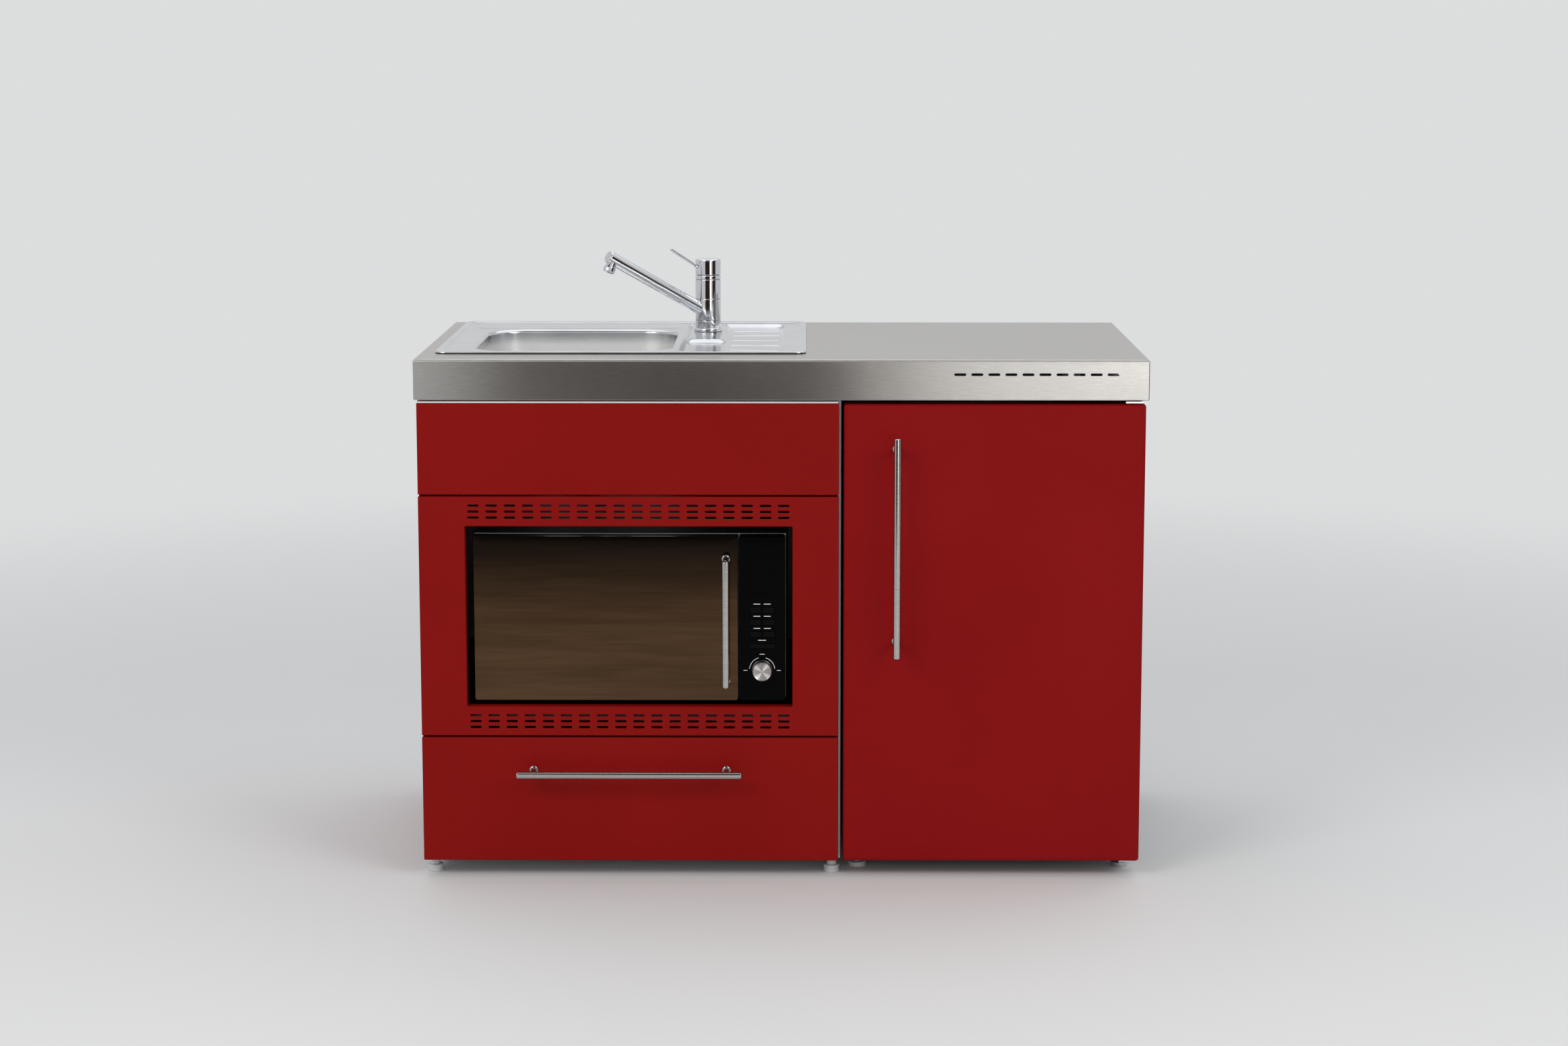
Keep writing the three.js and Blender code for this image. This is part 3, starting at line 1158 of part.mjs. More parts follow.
// The door's skin is folded round to a flange at the back, with a block for the pin in each corner.
function makeFridgeDoor() {
  const { width, cornerRadius } = fridge;
  const { skin, flange, edgeRadius } = fridgeDoor;
  const height = fridgeDoorHeight;
  const shell = cut(
    layered([0, 0, width, height], cornerRadius, [...roundedEdge(edgeRadius), [0, doorBack]], facingFront, 2),
    block([skin, skin, skin], [width - skin, doorBack - skin, height - skin]),
    block([flange, doorBack - 2 * skin, flange], [width - flange, doorBack + 1, height - flange]));
  const bossX = hingeX - hingeBoss / 2;
  const bosses = [0, height - hingeBoss].map((z) => block(
    [bossX, skin / 2, z + skin / 2],
    [width - skin / 2, doorBack - skin / 2, z + hingeBoss - skin / 2]));
  const bores = [[-1, hinge.pinReach + 1], [height - hinge.pinReach - 1, height + 1]].map(([z0, z1]) => rod(
    hinge.pinRadius + hinge.play, [hingeX, hinge.pinDepth, z0], [hingeX, hinge.pinDepth, z1], 20));
  return cut(join(shell, bosses), bores);
}

const linerBack = doorBack + clearance + doorLiner.sheet;
const rackPlaces = [['rack_lower', rack.lower], ['rack_upper', rack.upper]];

// The door's liner closes the skin and carries two upright ribs with a ledge for each rack.
function makeDoorLiner() {
  const { width } = fridge;
  const { sheet, inset, dykeInset, dykeThickness, dykeDepth, dykeBottom, dykeTop, dykeCorner } = doorLiner;
  const ribTop = fridgeDoorHeight - dykeTop;
  const pan = block(
    [inset, doorBack + clearance, inset], [width - inset, linerBack, fridgeDoorHeight - inset]);
  const dykes = [-1, 1].flatMap((side) => {
    const outer = width / 2 + side * (width / 2 - dykeInset);
    const inner = outer - side * dykeThickness;
    const [x0, x1] = [Math.min(outer, inner), Math.max(outer, inner)];
    const rib = profile([
      [linerBack - sheet / 2, dykeBottom], [linerBack + dykeDepth - dykeCorner, dykeBottom],
      [linerBack + dykeDepth, dykeBottom + dykeCorner], [linerBack + dykeDepth, ribTop - dykeCorner],
      [linerBack + dykeDepth - dykeCorner, ribTop], [linerBack - sheet / 2, ribTop],
    ], x0, x1);
    const ledges = rackPlaces.map(([, z]) => {
      const tip = inner - side * rack.ledge;
      return block(
        [Math.min(inner + side, tip), linerBack + 4, z - clearance - 6],
        [Math.max(inner + side, tip), linerBack + dykeDepth - 8, z - clearance]);
    });
    return [rib, ...ledges];
  });
  return join(pan, dykes);
}

function makeRack() {
  const edge = doorLiner.dykeInset + doorLiner.dykeThickness + rack.play;
  const [x0, x1] = [edge, fridge.width - edge];
  const [y0, y1] = [linerBack + clearance, linerBack + rack.depth];
  const outer = plate(outline(x0, y0, x1, y1, rack.corner, 3), 0, rack.height);
  const inner = plate(
    outline(x0 + rack.wall, y0 + rack.wall, x1 - rack.wall, y1 - rack.wall, rack.corner - rack.wall, 3),
    rack.wall, rack.height + 1);
  const lowBack = block([x0 - 1, y0 - 1, rack.backHeight], [x1 + 1, y0 + rack.depth * 0.3, rack.height + 1]);
  return cut(outer, inner, lowBack);
}

function makeGasket() {
  const { inset, width: band } = gasket;
  const x1 = fridge.width - inset;
  const z1 = fridgeDoorHeight - inset - fridge.bodyDrop;
  const lip = 1.5;
  const [y0, y1] = [linerBack + clearance, fridgeFront - clearance];
  const ring = (grow, from, to) => wall(
    outline(inset - grow, inset - grow, x1 + grow, z1 + grow, 4, 2), from, to,
    [outline(inset + band + grow, inset + band + grow, x1 - band - grow, z1 - band - grow, 2, 2)]);
  return join(ring(-lip, y0, y1 - 1), ring(0, y1 - 2, y1));
}

// The upper hinge is a cranked plate on the body's top, the lower one a plate under the body that also
// holds the front right foot.
function makeUpperHinge() {
  const { pinRadius, pinReach, pinDepth, width, thickness, back, play, frontReach, rightTrim } = hinge;
  const low = fridgeDoorHeight + clearance + play;
  const [x0, x1] = [hingeX - width / 2, hingeX + width / 2 - rightTrim];
  const crank = profile([
    [pinDepth - frontReach, low], [fridgeFront + 2, low], [fridgeFront + 2, fridgeHeight + clearance],
    [fridgeFront + back, fridgeHeight + clearance],
    [fridgeFront + back, fridgeHeight + clearance + thickness],
    [fridgeFront + 2 + thickness, fridgeHeight + clearance + thickness],
    [fridgeFront + 2 + thickness, low + thickness], [pinDepth - frontReach, low + thickness],
  ], x0, x1);
  return join(crank, rod(pinRadius, [hingeX, pinDepth, low - pinReach], [hingeX, pinDepth, low + 1], 16));
}

function footStem(x, y, top) {
  const { radius, height, stemRadius } = fridgeFoot;
  return lathe([
    [0, -cabinet.footHeight], [radius - 1, -cabinet.footHeight], [radius, 1 - cabinet.footHeight],
    [radius, height - cabinet.footHeight], [stemRadius, height + 2 - cabinet.footHeight],
    [stemRadius, top], [0, top],
  ], 14, [x, y, 0]);
}

function makeLowerHinge() {
  const { pinRadius, pinReach, pinDepth, width, thickness, back, frontReach, rightTrim } = hinge;
  const x0 = hingeX - width / 2;
  const bracket = plate(
    outline(x0, pinDepth - frontReach, hingeX + width / 2 - rightTrim, fridgeFront + back, 4, 3),
    -thickness - clearance, -clearance);
  const stem = footStem(
    fridge.width - fridgeFoot.sideInset, fridgeFront + fridgeFoot.depthInset, -clearance - 1);
  return join(bracket, stem,
    rod(pinRadius, [hingeX, pinDepth, -clearance - 1], [hingeX, pinDepth, pinReach], 16));
}

function makeFridgeFoot() {
  return footStem(fridgeFoot.sideInset, fridgeFront + fridgeFoot.depthInset, -clearance);
}

// The dial, on the spindle at the liner's right side: a disc with a grip bar, its axis along x.
function makeDial() {
  const { radius, thickness, spindleRadius, play, grip } = dial;
  const disc = join(
    rod(radius, [-clearance, 0, 0], [-clearance - thickness / 2, 0, 0], 20, radius - 1.5),
    block([-thickness, -radius + 3, -grip / 2], [-clearance - 2, radius - 3, grip / 2]));
  return cut(disc, rod(spindleRadius + play, [1, 0, 0], [3.5 - thickness, 0, 0], 16));
}

// The compressor: a welded can with a domed top on a mounting plate, and two pipe stubs.
function makeCompressor() {
  const { radius, height, baseWidth, baseDepth, baseThickness, pipeRadius } = compressor;
  const can = lathe([
    [0, 8], [radius - 14, 8], [radius - 3, 16], [radius, 28], [radius, height - 26],
    [radius - 5, height - 14], [radius - 24, height - 3], [0, height],
  ], 16);
  const base = block([-baseWidth / 2, -baseDepth / 2, 0], [baseWidth / 2, baseDepth / 2, baseThickness]);
  const seat = rod(radius - 20, [0, 0, baseThickness / 2], [0, 0, 10], 16);
  const stubs = [-1, 1].map((side) => tube([
    [side * (radius - 8), 0, 40], [side * (radius + 10), 0, 42], [side * (radius + 16), 0, 56],
    [side * (radius + 16), 0, height - 10],
  ], pipeRadius, 6, 6));
  return join(can, base, seat, stubs);
}

place(fridgeGroup, 'fridge_cabinet', makeFridgeCabinet(), finishes.darkPaint);
place(fridgeGroup, 'fridge_liner', makeLiner(), finishes.whitePlastic);
place(fridgeGroup, 'fridge_door', makeFridgeDoor(), finishes.redPaint);
place(fridgeGroup, 'fridge_door_liner', makeDoorLiner(), finishes.whitePlastic);
place(fridgeGroup, 'door_gasket', makeGasket(), finishes.rubber);
place(fridgeGroup, 'fridge_hinge_upper', makeUpperHinge(), finishes.chrome);
place(fridgeGroup, 'fridge_hinge_lower', makeLowerHinge(), finishes.chrome);
place(fridgeGroup, 'fridge_handle', barHandle(fridgeHandle.length, handle.postSpacing), finishes.brushedSteel,
  [fridgeHandle.fromEdge, 0, fridgeHandle.height - cabinet.footHeight], [0, Math.PI / 2, 0]);
for (const [name, z] of shelfPlaces) {
  place(fridgeGroup, `shelf_${name}`, makeShelf(), finishes.glass, [0, 0, z]);
}
place(fridgeGroup, 'crisper', makeCrisper(), finishes.clearPlastic,
  [0, fridgeFront + crisper.front, fridge.floorWall + clearance]);
for (const [name, z] of rackPlaces) {
  place(fridgeGroup, name, makeRack(), finishes.clearPlastic, [0, 0, z]);
}
place(fridgeGroup, 'thermostat_dial', makeDial(), finishes.whitePlastic,
  [fridge.width - fridge.wall, dial.y, dial.z]);
place(fridgeGroup, 'compressor', makeCompressor(), finishes.blackPaint,
  [fridge.width / 2, nicheFront + niche.depth / 2, fridge.skin + clearance]);
place(fridgeGroup, 'fridge_foot', makeFridgeFoot(), finishes.greyPlastic);

export default model;
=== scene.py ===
import math

import bmesh
import bpy
import numpy as np
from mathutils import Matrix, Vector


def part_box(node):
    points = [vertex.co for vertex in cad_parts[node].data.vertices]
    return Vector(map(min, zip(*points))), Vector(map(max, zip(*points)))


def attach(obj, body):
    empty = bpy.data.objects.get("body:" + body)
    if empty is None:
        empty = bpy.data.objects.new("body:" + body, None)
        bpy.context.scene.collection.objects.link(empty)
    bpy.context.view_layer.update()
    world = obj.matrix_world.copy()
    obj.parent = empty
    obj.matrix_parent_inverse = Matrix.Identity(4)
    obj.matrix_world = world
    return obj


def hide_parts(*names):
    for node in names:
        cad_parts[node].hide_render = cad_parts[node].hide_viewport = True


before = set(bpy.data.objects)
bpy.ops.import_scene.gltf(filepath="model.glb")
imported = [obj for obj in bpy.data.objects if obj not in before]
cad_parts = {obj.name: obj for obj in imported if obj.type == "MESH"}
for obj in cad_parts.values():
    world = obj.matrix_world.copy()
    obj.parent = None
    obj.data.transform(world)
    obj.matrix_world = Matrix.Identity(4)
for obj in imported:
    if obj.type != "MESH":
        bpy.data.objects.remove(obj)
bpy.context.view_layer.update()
print("frame loaded,", len(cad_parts), "nodes")

mm = 0.001
scene = bpy.context.scene
scene.view_settings.view_transform = "Standard"


# A Math node on both sides of an expression, in their order, or swapped as 1 - value needs them.
def operator(operation, swapped=False):
    # The node's output for the value and what stands beside it.
    def apply(self, *other):
        sides = (*other, self) if swapped else (self, *other)
        return self.paint.add("Math", {"operation": operation}, dict(enumerate(sides)))
    return apply


# One socket of a paint, so that an expression on such values adds its Math nodes.
class Value:
    def __init__(self, paint, socket):
        self.paint, self.socket = paint, socket

    __add__ = __radd__ = operator("ADD")
    __mul__ = __rmul__ = operator("MULTIPLY")
    __sub__, __rsub__ = operator("SUBTRACT"), operator("SUBTRACT", True)
    __lt__, __gt__ = operator("LESS_THAN"), operator("GREATER_THAN")
    __pow__, __abs__ = operator("POWER"), operator("ABSOLUTE")
    root, cosine, bearing = operator("SQRT"), operator("COSINE"), operator("ARCTAN2")
    atMost, atLeast = operator("MINIMUM"), operator("MAXIMUM")

    # 0 below low, 1 above high, and smooth between them.
    def ramp(self, low, high):
        settings = {"interpolation_type": "SMOOTHSTEP"}
        return self.paint.add("MapRange", settings, {0: self, 1: low, 2: high})


# The nodes of a material, or of the world.
class Paint:
    def __init__(self, name, owner=None):
        self.owner = owner or bpy.data.materials.new(name)
        self.owner.use_nodes = True
        self.nodes = self.owner.node_tree.nodes
        self.links = self.owner.node_tree.links
        self.shader = self.nodes.get("Principled BSDF")

    # One node: its type, its settings, and the values or links of its sockets.
    def add(self, kind, settings=None, inputs=None, output=0):
        node = self.nodes.new("ShaderNode" + kind)
        for key, value in (settings or {}).items():
            setattr(node, key, value)
        for key, value in (inputs or {}).items():
            self.put(node.inputs[key], value)
        return Value(self, node.outputs[output])

    # A link, a colour with its alpha of 1, or a plain number or vector.
    def put(self, socket, value):
        if isinstance(value, Value):
            self.links.new(value.socket, socket)
        elif isinstance(value, (tuple, list)) and socket.type == "RGBA":
            socket.default_value = (*value, 1)
        else:
            socket.default_value = value

    # The shader's sockets by name: baseColor is Base Color.
    def surface(self, **sockets):
        for key, value in sockets.items():
            name = "".join(" " + c if c.isupper() else c for c in key).strip().title()
            self.put(self.shader.inputs[name.replace("Ior", "IOR")], value)
        return self.owner

    # Object coordinates in metres, less a centre and times a scale.
    def place(self, scale=(1, 1, 1), centre=(0, 0, 0)):
        coordinates = self.add("TexCoord", output=3)
        offset = tuple(-c * s for c, s in zip(centre, scale))
        return self.add("Mapping", {}, {0: coordinates, 1: offset, 3: scale})

    # The same as three values.
    def axes(self, centre=(0, 0, 0)):
        split = self.add("SeparateXYZ", {}, {0: self.place(centre=centre)})
        outputs = split.socket.node.outputs
        return [Value(self, outputs[i]) for i in range(3)]

    # Noise of so many waves a metre, or along a stretched place.
    def noise(self, scale, detail=3, roughness=0.5, where=None):
        inputs = {"Vector": where or self.place(), "Scale": scale, "Detail": detail,
                  "Roughness": roughness}
        return self.add("TexNoise", {}, inputs)

    # (1 - factor) first + factor second.
    def mix(self, factor, first, second):
        node = self.add("Mix", {"data_type": "RGBA"}, {0: factor}).socket.node
        self.put(node.inputs[6], first)
        self.put(node.inputs[7], second)
        return Value(self, node.outputs[2])

    # The surface's normal, tilted by a height.
    def bump(self, height, strength, distance):
        return self.add("Bump", {}, {"Strength": strength, "Distance": distance, "Height": height})


stainlessValues = {"dark": (0.385, 0.372, 0.356), "light": (0.505, 0.492, 0.475), "roughness": 0.25,
                   "lines": (38, 1100, 1100), "scratches": (3, 260, 260)}


# Brushed sheet: fine lines along x, a soft cloudiness, and rare deeper scratches.
def stainless():
    v = stainlessValues
    p = Paint("stainless")
    lines = p.noise(1, 5, 0.75, p.place(v["lines"]))
    cloud = p.noise(5, 3)
    scratch = p.noise(1, 2, 0.5, p.place(v["scratches"])).ramp(0.66, 0.80)
    tone = p.mix(lines.ramp(0.3, 0.7), v["dark"], v["light"])
    rough = v["roughness"] + 0.07 * cloud + 0.06 * lines + 0.05 * scratch
    return p.surface(baseColor=tone, metallic=1.0, roughness=rough,
                     normal=p.bump(lines + 0.4 * scratch, 0.10, 0.0004))


# The bowl's colour is lighter than the deck's: painted light.
pressedValues = {"dark": (0.56, 0.572, 0.59), "light": (0.63, 0.642, 0.66), "bowl": (0.86, 0.86, 0.855),
                 "deckHeight": 864 * mm, "blend": 20 * mm, "roughness": 0.14, "bowlRougher": 0.17}


# Pressed sink: a fine satin that clouds a little; the bowl, below the deck, is duller, and its lighter
# colour is painted light, for the light that falls into it.
def pressedSteel():
    v = pressedValues
    p = Paint("pressedSteel")
    lines = p.noise(1, 3, 0.6, p.place((25, 700, 700)))
    cloud = p.noise(14, 3)
    z = p.axes((0, 0, v["deckHeight"]))[2]
    deep = 1 - z.ramp(-v["blend"], 0)
    deck = p.mix(cloud.ramp(0.3, 0.7), v["dark"], v["light"])
    rough = v["roughness"] + 0.06 * cloud + 0.03 * lines + v["bowlRougher"] * deep
    # Below the deck the colour turns to the bowl's lighter one: painted light.
    return p.surface(baseColor=p.mix(deep, deck, v["bowl"]), metallic=1.0, roughness=rough,
                     normal=p.bump(lines, 0.05, 0.0003))


chromeValues = {"dark": (0.60, 0.615, 0.645), "light": (0.68, 0.695, 0.725), "roughness": 0.035}


# Polished chrome: its tone and its roughness follow one soft smear.
def chrome():
    v = chromeValues
    p = Paint("chrome")
    smear = p.noise(22, 3)
    tone = p.mix(smear, v["dark"], v["light"])
    return p.surface(baseColor=tone, metallic=1.0, roughness=v["roughness"] + 0.045 * smear)


barFinish = {"dark": (0.36, 0.35, 0.335), "light": (0.52, 0.51, 0.49), "roughness": 0.17, "lines": 2600}


# Bars are ground round their axis, so the noise is fine along it and the lines run across it.
def brushedBar(name, along):
    v = barFinish
    p = Paint(name)
    stretch = [60, 60, 60]
    stretch["xyz".index(along)] = v["lines"]
    lines = p.noise(1, 3, 0.6, p.place(stretch))
    tone = p.mix(lines.ramp(0.3, 0.7), v["dark"], v["light"])
    return p.surface(baseColor=tone, metallic=1.0, roughness=v["roughness"] + 0.08 * lines,
                     normal=p.bump(lines, 0.10, 0.0002))


coatValues = {  # colour, its shade, roughness and gloss
    "redPaint": ((0.234, 0.0048, 0.0036), (0.214, 0.0038, 0.0030), 0.42, 0.07),
    "doorRedPaint": ((0.238, 0.0050, 0.0058), (0.218, 0.0040, 0.0046), 0.40, 0.05),
    "greyPaint": ((0.60, 0.60, 0.61), (0.56, 0.56, 0.57), 0.42, 0.3),
    # The strip's grey is lighter than the grey paint: partly its own colour, partly painted light against
    # the worktop's shade.
    "stripPaintedLightGrey": ((0.72, 0.72, 0.73), (0.68, 0.68, 0.69), 0.42, 0.12),
    "darkPaint": ((0.085, 0.088, 0.092), (0.07, 0.073, 0.077), 0.45, 0.12),
    "blackPaint": ((0.012, 0.012, 0.013), (0.009, 0.009, 0.010), 0.62, 0.2),
    "cavityPaint": ((0.50, 0.51, 0.52), (0.44, 0.45, 0.46), 0.38, 0.12),
}


# Powder coat: an orange-peel skin over a deep colour that clouds a little.
def powderCoat(name, colour, shade, roughness, gloss):
    p = Paint(name)
    cloud = p.noise(3.5, 3)
    peel = p.noise(900, 2, 0.4)
    grain = p.noise(2600, 2)
    tone = p.mix(cloud.ramp(0.25, 0.75), shade, colour)
    return p.surface(baseColor=tone, roughness=roughness + 0.05 * grain + 0.03 * cloud,
                     normal=p.bump(peel + 0.4 * grain, 0.07, 0.0004), specularIorLevel=gloss)


# Zinc at a tenth of its colour is painted shade, for the oven's shelf, which lies in shadow behind the
# grille.
zincValues = {"dark": (0.45, 0.465, 0.48), "light": (0.53, 0.545, 0.56), "flakes": 110.0,
              "shares": {"zinc": 1.0, "zincPaintedShade": 0.10}}


# Galvanised sheet: flakes, each of one grey between the dark and the light, times a share; a share below 1
# is painted shade.
def galvanised(name, share):
    v = zincValues
    p = Paint(name)
    cells = p.add("TexVoronoi", {}, {"Vector": p.place(), "Scale": v["flakes"]}, output=1)
    grey = p.add("RGBToBW", {}, {0: cells})
    tone = p.mix(grey, tuple(share * c for c in v["dark"]), tuple(share * c for c in v["light"]))
    return p.surface(baseColor=tone, metallic=0.9, roughness=0.38 + 0.16 * grey,
                     normal=p.bump(p.noise(400), 0.05, 0.0003))


plasticValues = {  # colour, its shade, roughness, grain and gloss
    "blackGloss": ((0.003, 0.003, 0.003), (0.002, 0.002, 0.002), 0.12, 300, 0.05),
    "frameBlack": ((0.004, 0.004, 0.004), (0.003, 0.003, 0.003), 0.42, 300, 0.05),
    "whitePlastic": ((0.78, 0.79, 0.80), (0.74, 0.75, 0.77), 0.36, 1400, 0.5),
    "linerPlastic": ((0.80, 0.82, 0.84), (0.77, 0.79, 0.81), 0.30, 700, 0.5),
    "footPlastic": ((0.60, 0.61, 0.62), (0.55, 0.56, 0.57), 0.4, 1400, 0.5),
    "gasketRubber": ((0.30, 0.31, 0.33), (0.26, 0.27, 0.29), 0.62, 1400, 0.5),
}


# Moulded plastic: a colour that clouds towards its shade, and a fine grain.
def plastic(name, colour, shade, roughness, grain, gloss):
    p = Paint(name)
    cloud = p.noise(9, 3)
    texture = p.noise(grain, 2)
    tone = p.mix(cloud, shade, colour)
    return p.surface(baseColor=tone, roughness=roughness + 0.08 * texture, specularIorLevel=gloss,
                     normal=p.bump(texture, 0.06, 0.0003))


clearValues = {  # colour, roughness and tint
    "clearPlastic": ((0.93, 0.97, 0.99), 0.08, (0.86, 0.93, 0.97)),
    "shelfGlass": ((0.93, 0.98, 0.96), 0.02, (0.88, 0.96, 0.93)),
}


# Clear sheet: light goes through it, and a slow ripple varies its tint and its roughness.
def clear(name, colour, roughness, tint):
    p = Paint(name)
    ripple = p.noise(30, 2)
    tone = p.mix(ripple, colour, tint)
    return p.surface(baseColor=tone, roughness=roughness + 0.02 * ripple, transmissionWeight=0.92,
                     ior=1.49, normal=p.bump(ripple, 0.04, 0.0005))


# The brown colour and its shade, and the darkening towards the top, are a painted reflection of the room.
mirrorValues = {"colour": (0.104, 0.058, 0.030), "shade": (0.066, 0.036, 0.018),
                "edge": (0.003, 0.003, 0.003), "fade": (0.38, 0.60), "paintedReflectionDarkening": 0.96,
                "centre": (-0.28985, 0, 0.4363), "half": (0.2178, 0.1372),
                "face": -0.2607}


# Smoked mirror glass: a brown tone in soft bands along x, a painted reflection of a wooden floor, that
# darkens towards the top, a painted reflection of a darker room; the sheet's edges, outside a rectangle on
# its face, are plain black.
def mirrorGlass():
    v = mirrorValues
    p = Paint("mirrorGlass")
    reflectionBands = p.noise(1, 4, 0.6, p.place((2.0, 2.0, 26)))
    fine = p.noise(1, 3, 0.6, p.place((7, 7, 190)))
    x, y, z = p.axes(v["centre"])
    # Painted reflection: darker towards the top.
    depth = 1 - v["paintedReflectionDarkening"] * (z + v["centre"][2]).ramp(*v["fade"])
    face = (abs(x) < v["half"][0]) * (abs(z) < v["half"][1]) * (y < v["face"])
    tone = p.mix((reflectionBands * 0.7 + fine * 0.3).ramp(0.34, 0.66), v["shade"], v["colour"])
    tone = p.mix(depth * face, v["edge"], tone)
    return p.surface(baseColor=tone, metallic=0.9 * face, roughness=0.06 + 0.04 * reflectionBands,
                     specularIorLevel=0.1)


finishes = {"stainless": stainless(), "pressedSteel": pressedSteel(), "chrome": chrome(),
            "mirrorGlass": mirrorGlass(), "brushedBarX": brushedBar("brushedBarX", "x"),
            "brushedBarZ": brushedBar("brushedBarZ", "z")}
finishes.update({name: powderCoat(name, *values) for name, values in coatValues.items()})
finishes.update({name: galvanised(name, share) for name, share in zincValues["shares"].items()})
finishes.update({name: plastic(name, *values) for name, values in plasticValues.items()})
finishes.update({name: clear(name, *values) for name, values in clearValues.items()})
print("finishes:", len(finishes))


# A vector over its length.
def unit(vector):
    vector = np.asarray(vector, float)
    return vector / np.linalg.norm(vector, axis=-1, keepdims=True)


# 0 below low, 1 above high, and t t (3 - 2 t) between them.
def smooth(low, high, x):
    t = np.clip((x - low) / (high - low), 0, 1)
    return t * t * (3 - 2 * t)


# Points of a polyline whose corners are rounded by parabolas that touch both sides.
def roundedPath(corners, radius, steps=5):
    p = np.asarray(corners, float)
    toBefore, toAfter = p[:-2] - p[1:-1], p[2:] - p[1:-1]
    shorter = np.minimum(np.linalg.norm(toBefore, axis=1), np.linalg.norm(toAfter, axis=1))
    reach = np.minimum(radius, 0.49 * shorter)[:, None, None]
    t = np.linspace(0, 1, steps + 1)[None, :, None]
    corner = p[1:-1][:, None]
    start = corner + unit(toBefore)[:, None] * reach
    end = corner + unit(toAfter)[:, None] * reach
    curve = start * (1 - t) ** 2 + 2 * corner * t * (1 - t) + end * t ** 2
    return np.concatenate([p[:1], curve.reshape(-1, p.shape[1]), p[-1:]])


# A profile of [radius, height] turned round an axis: point = origin + height axis + radius (cos, sin).
def lathe(profile, sides=56, origin=(0, 0, 0), axis=(0, 0, 1)):
    profile = np.asarray(profile, float)
    axis = unit(axis)
    aside = unit(np.cross(axis, (0, 1, 0) if abs(axis[1]) < 0.9 else (1, 0, 0)))
    angle = np.linspace(0, 2 * math.pi, sides, endpoint=False)[:, None]
    around = np.cos(angle) * aside + np.sin(angle) * np.cross(axis, aside)
    return np.asarray(origin) + profile[:, None, 1:] * axis + profile[:, None, :1] * around[None]


# The same for a profile in millimetres.
def turned(profile, sides=56, origin=(0, 0, 0), axis=(0, 0, 1)):
    return lathe(np.array(profile) * mm, sides, origin, axis)


# A turned edge broken by e: up the wall at radius r and over onto the face at z.
def topEdge(r, z, e):
    return [(r, z - e), (r - 0.3 * e, z - 0.25 * e), (r - e, z)]


# Its mirror image: from the face at z out to the wall at radius r.
def footEdge(r, z, e):
    return [(r - e, z), (r - 0.3 * e, z + 0.25 * e), (r, z + e)]


# A round tube along a path: a circle square to the path at each of its points, and a pole at each end.
def tube(path, radius, sides=24):
    path = np.asarray(path, float)
    along = unit(np.gradient(path, axis=0))
    aside = unit(np.cross(along, (1, 0.9, 1.1)))
    other = np.cross(along, aside)
    angle = np.linspace(0, 2 * math.pi, sides, endpoint=False)[None, :, None]
    ring = np.cos(angle) * aside[:, None] + np.sin(angle) * other[:, None]
    wall = path[:, None] + radius * ring
    first = np.broadcast_to(path[0], wall[:1].shape)
    last = np.broadcast_to(path[-1], wall[:1].shape)
    return np.concatenate([first, wall, last])


# A closed ring of points round a rectangle with round corners, counterclockwise: an arc at each corner,
# radius (cos, sin) from its centre, and the middle of each side.
def rectRing(x0, x1, z0, z1, radius, steps=6, perSide=2):
    angle = np.linspace(0, math.pi / 2, steps + 1)
    left, right, low, high = x0 + radius, x1 - radius, z0 + radius, z1 - radius
    centres = [(right, low), (right, high), (left, high), (left, low)]
    arcs = [np.stack([cx + radius * np.cos(angle + turn), cz + radius * np.sin(angle + turn)], 1)
            for (cx, cz), turn in zip(centres, np.radians([-90, 0, 90, 180]))]
    sides = [np.linspace(arcs[i][-1], arcs[(i + 1) % 4][0], perSide + 1)[1:-1] for i in range(4)]
    return np.concatenate([part for pair in zip(arcs, sides) for part in pair])


# A rounded slab: rings of a shrinking rectangle at [inset, depth] levels, closed by a point at each end.
def slab(x0, x1, z0, z1, radius, levels, place):
    rows = [rectRing(x0 + s, x1 - s, z0 + s, z1 - s, max(radius - s, 0.05 * mm)) for s, depth in levels]
    depths = [depth for s, depth in levels]
    middle = np.broadcast_to(((x0 + x1) / 2, (z0 + z1) / 2), rows[0].shape)
    rows = np.stack([middle, *rows, middle])
    depths = np.array([depths[0], *depths, depths[-1]])[:, None]
    return place(rows[..., 0], rows[..., 1], np.broadcast_to(depths, rows.shape[:2]))


# Depths run back along y from a front face.
def facingFront(y):
    return lambda x, z, depth: np.stack([x, y + depth, z], -1)


# Depths run down from a top.
def facingUp(top):
    return lambda x, y, depth: np.stack([x, y, top - depth], -1)


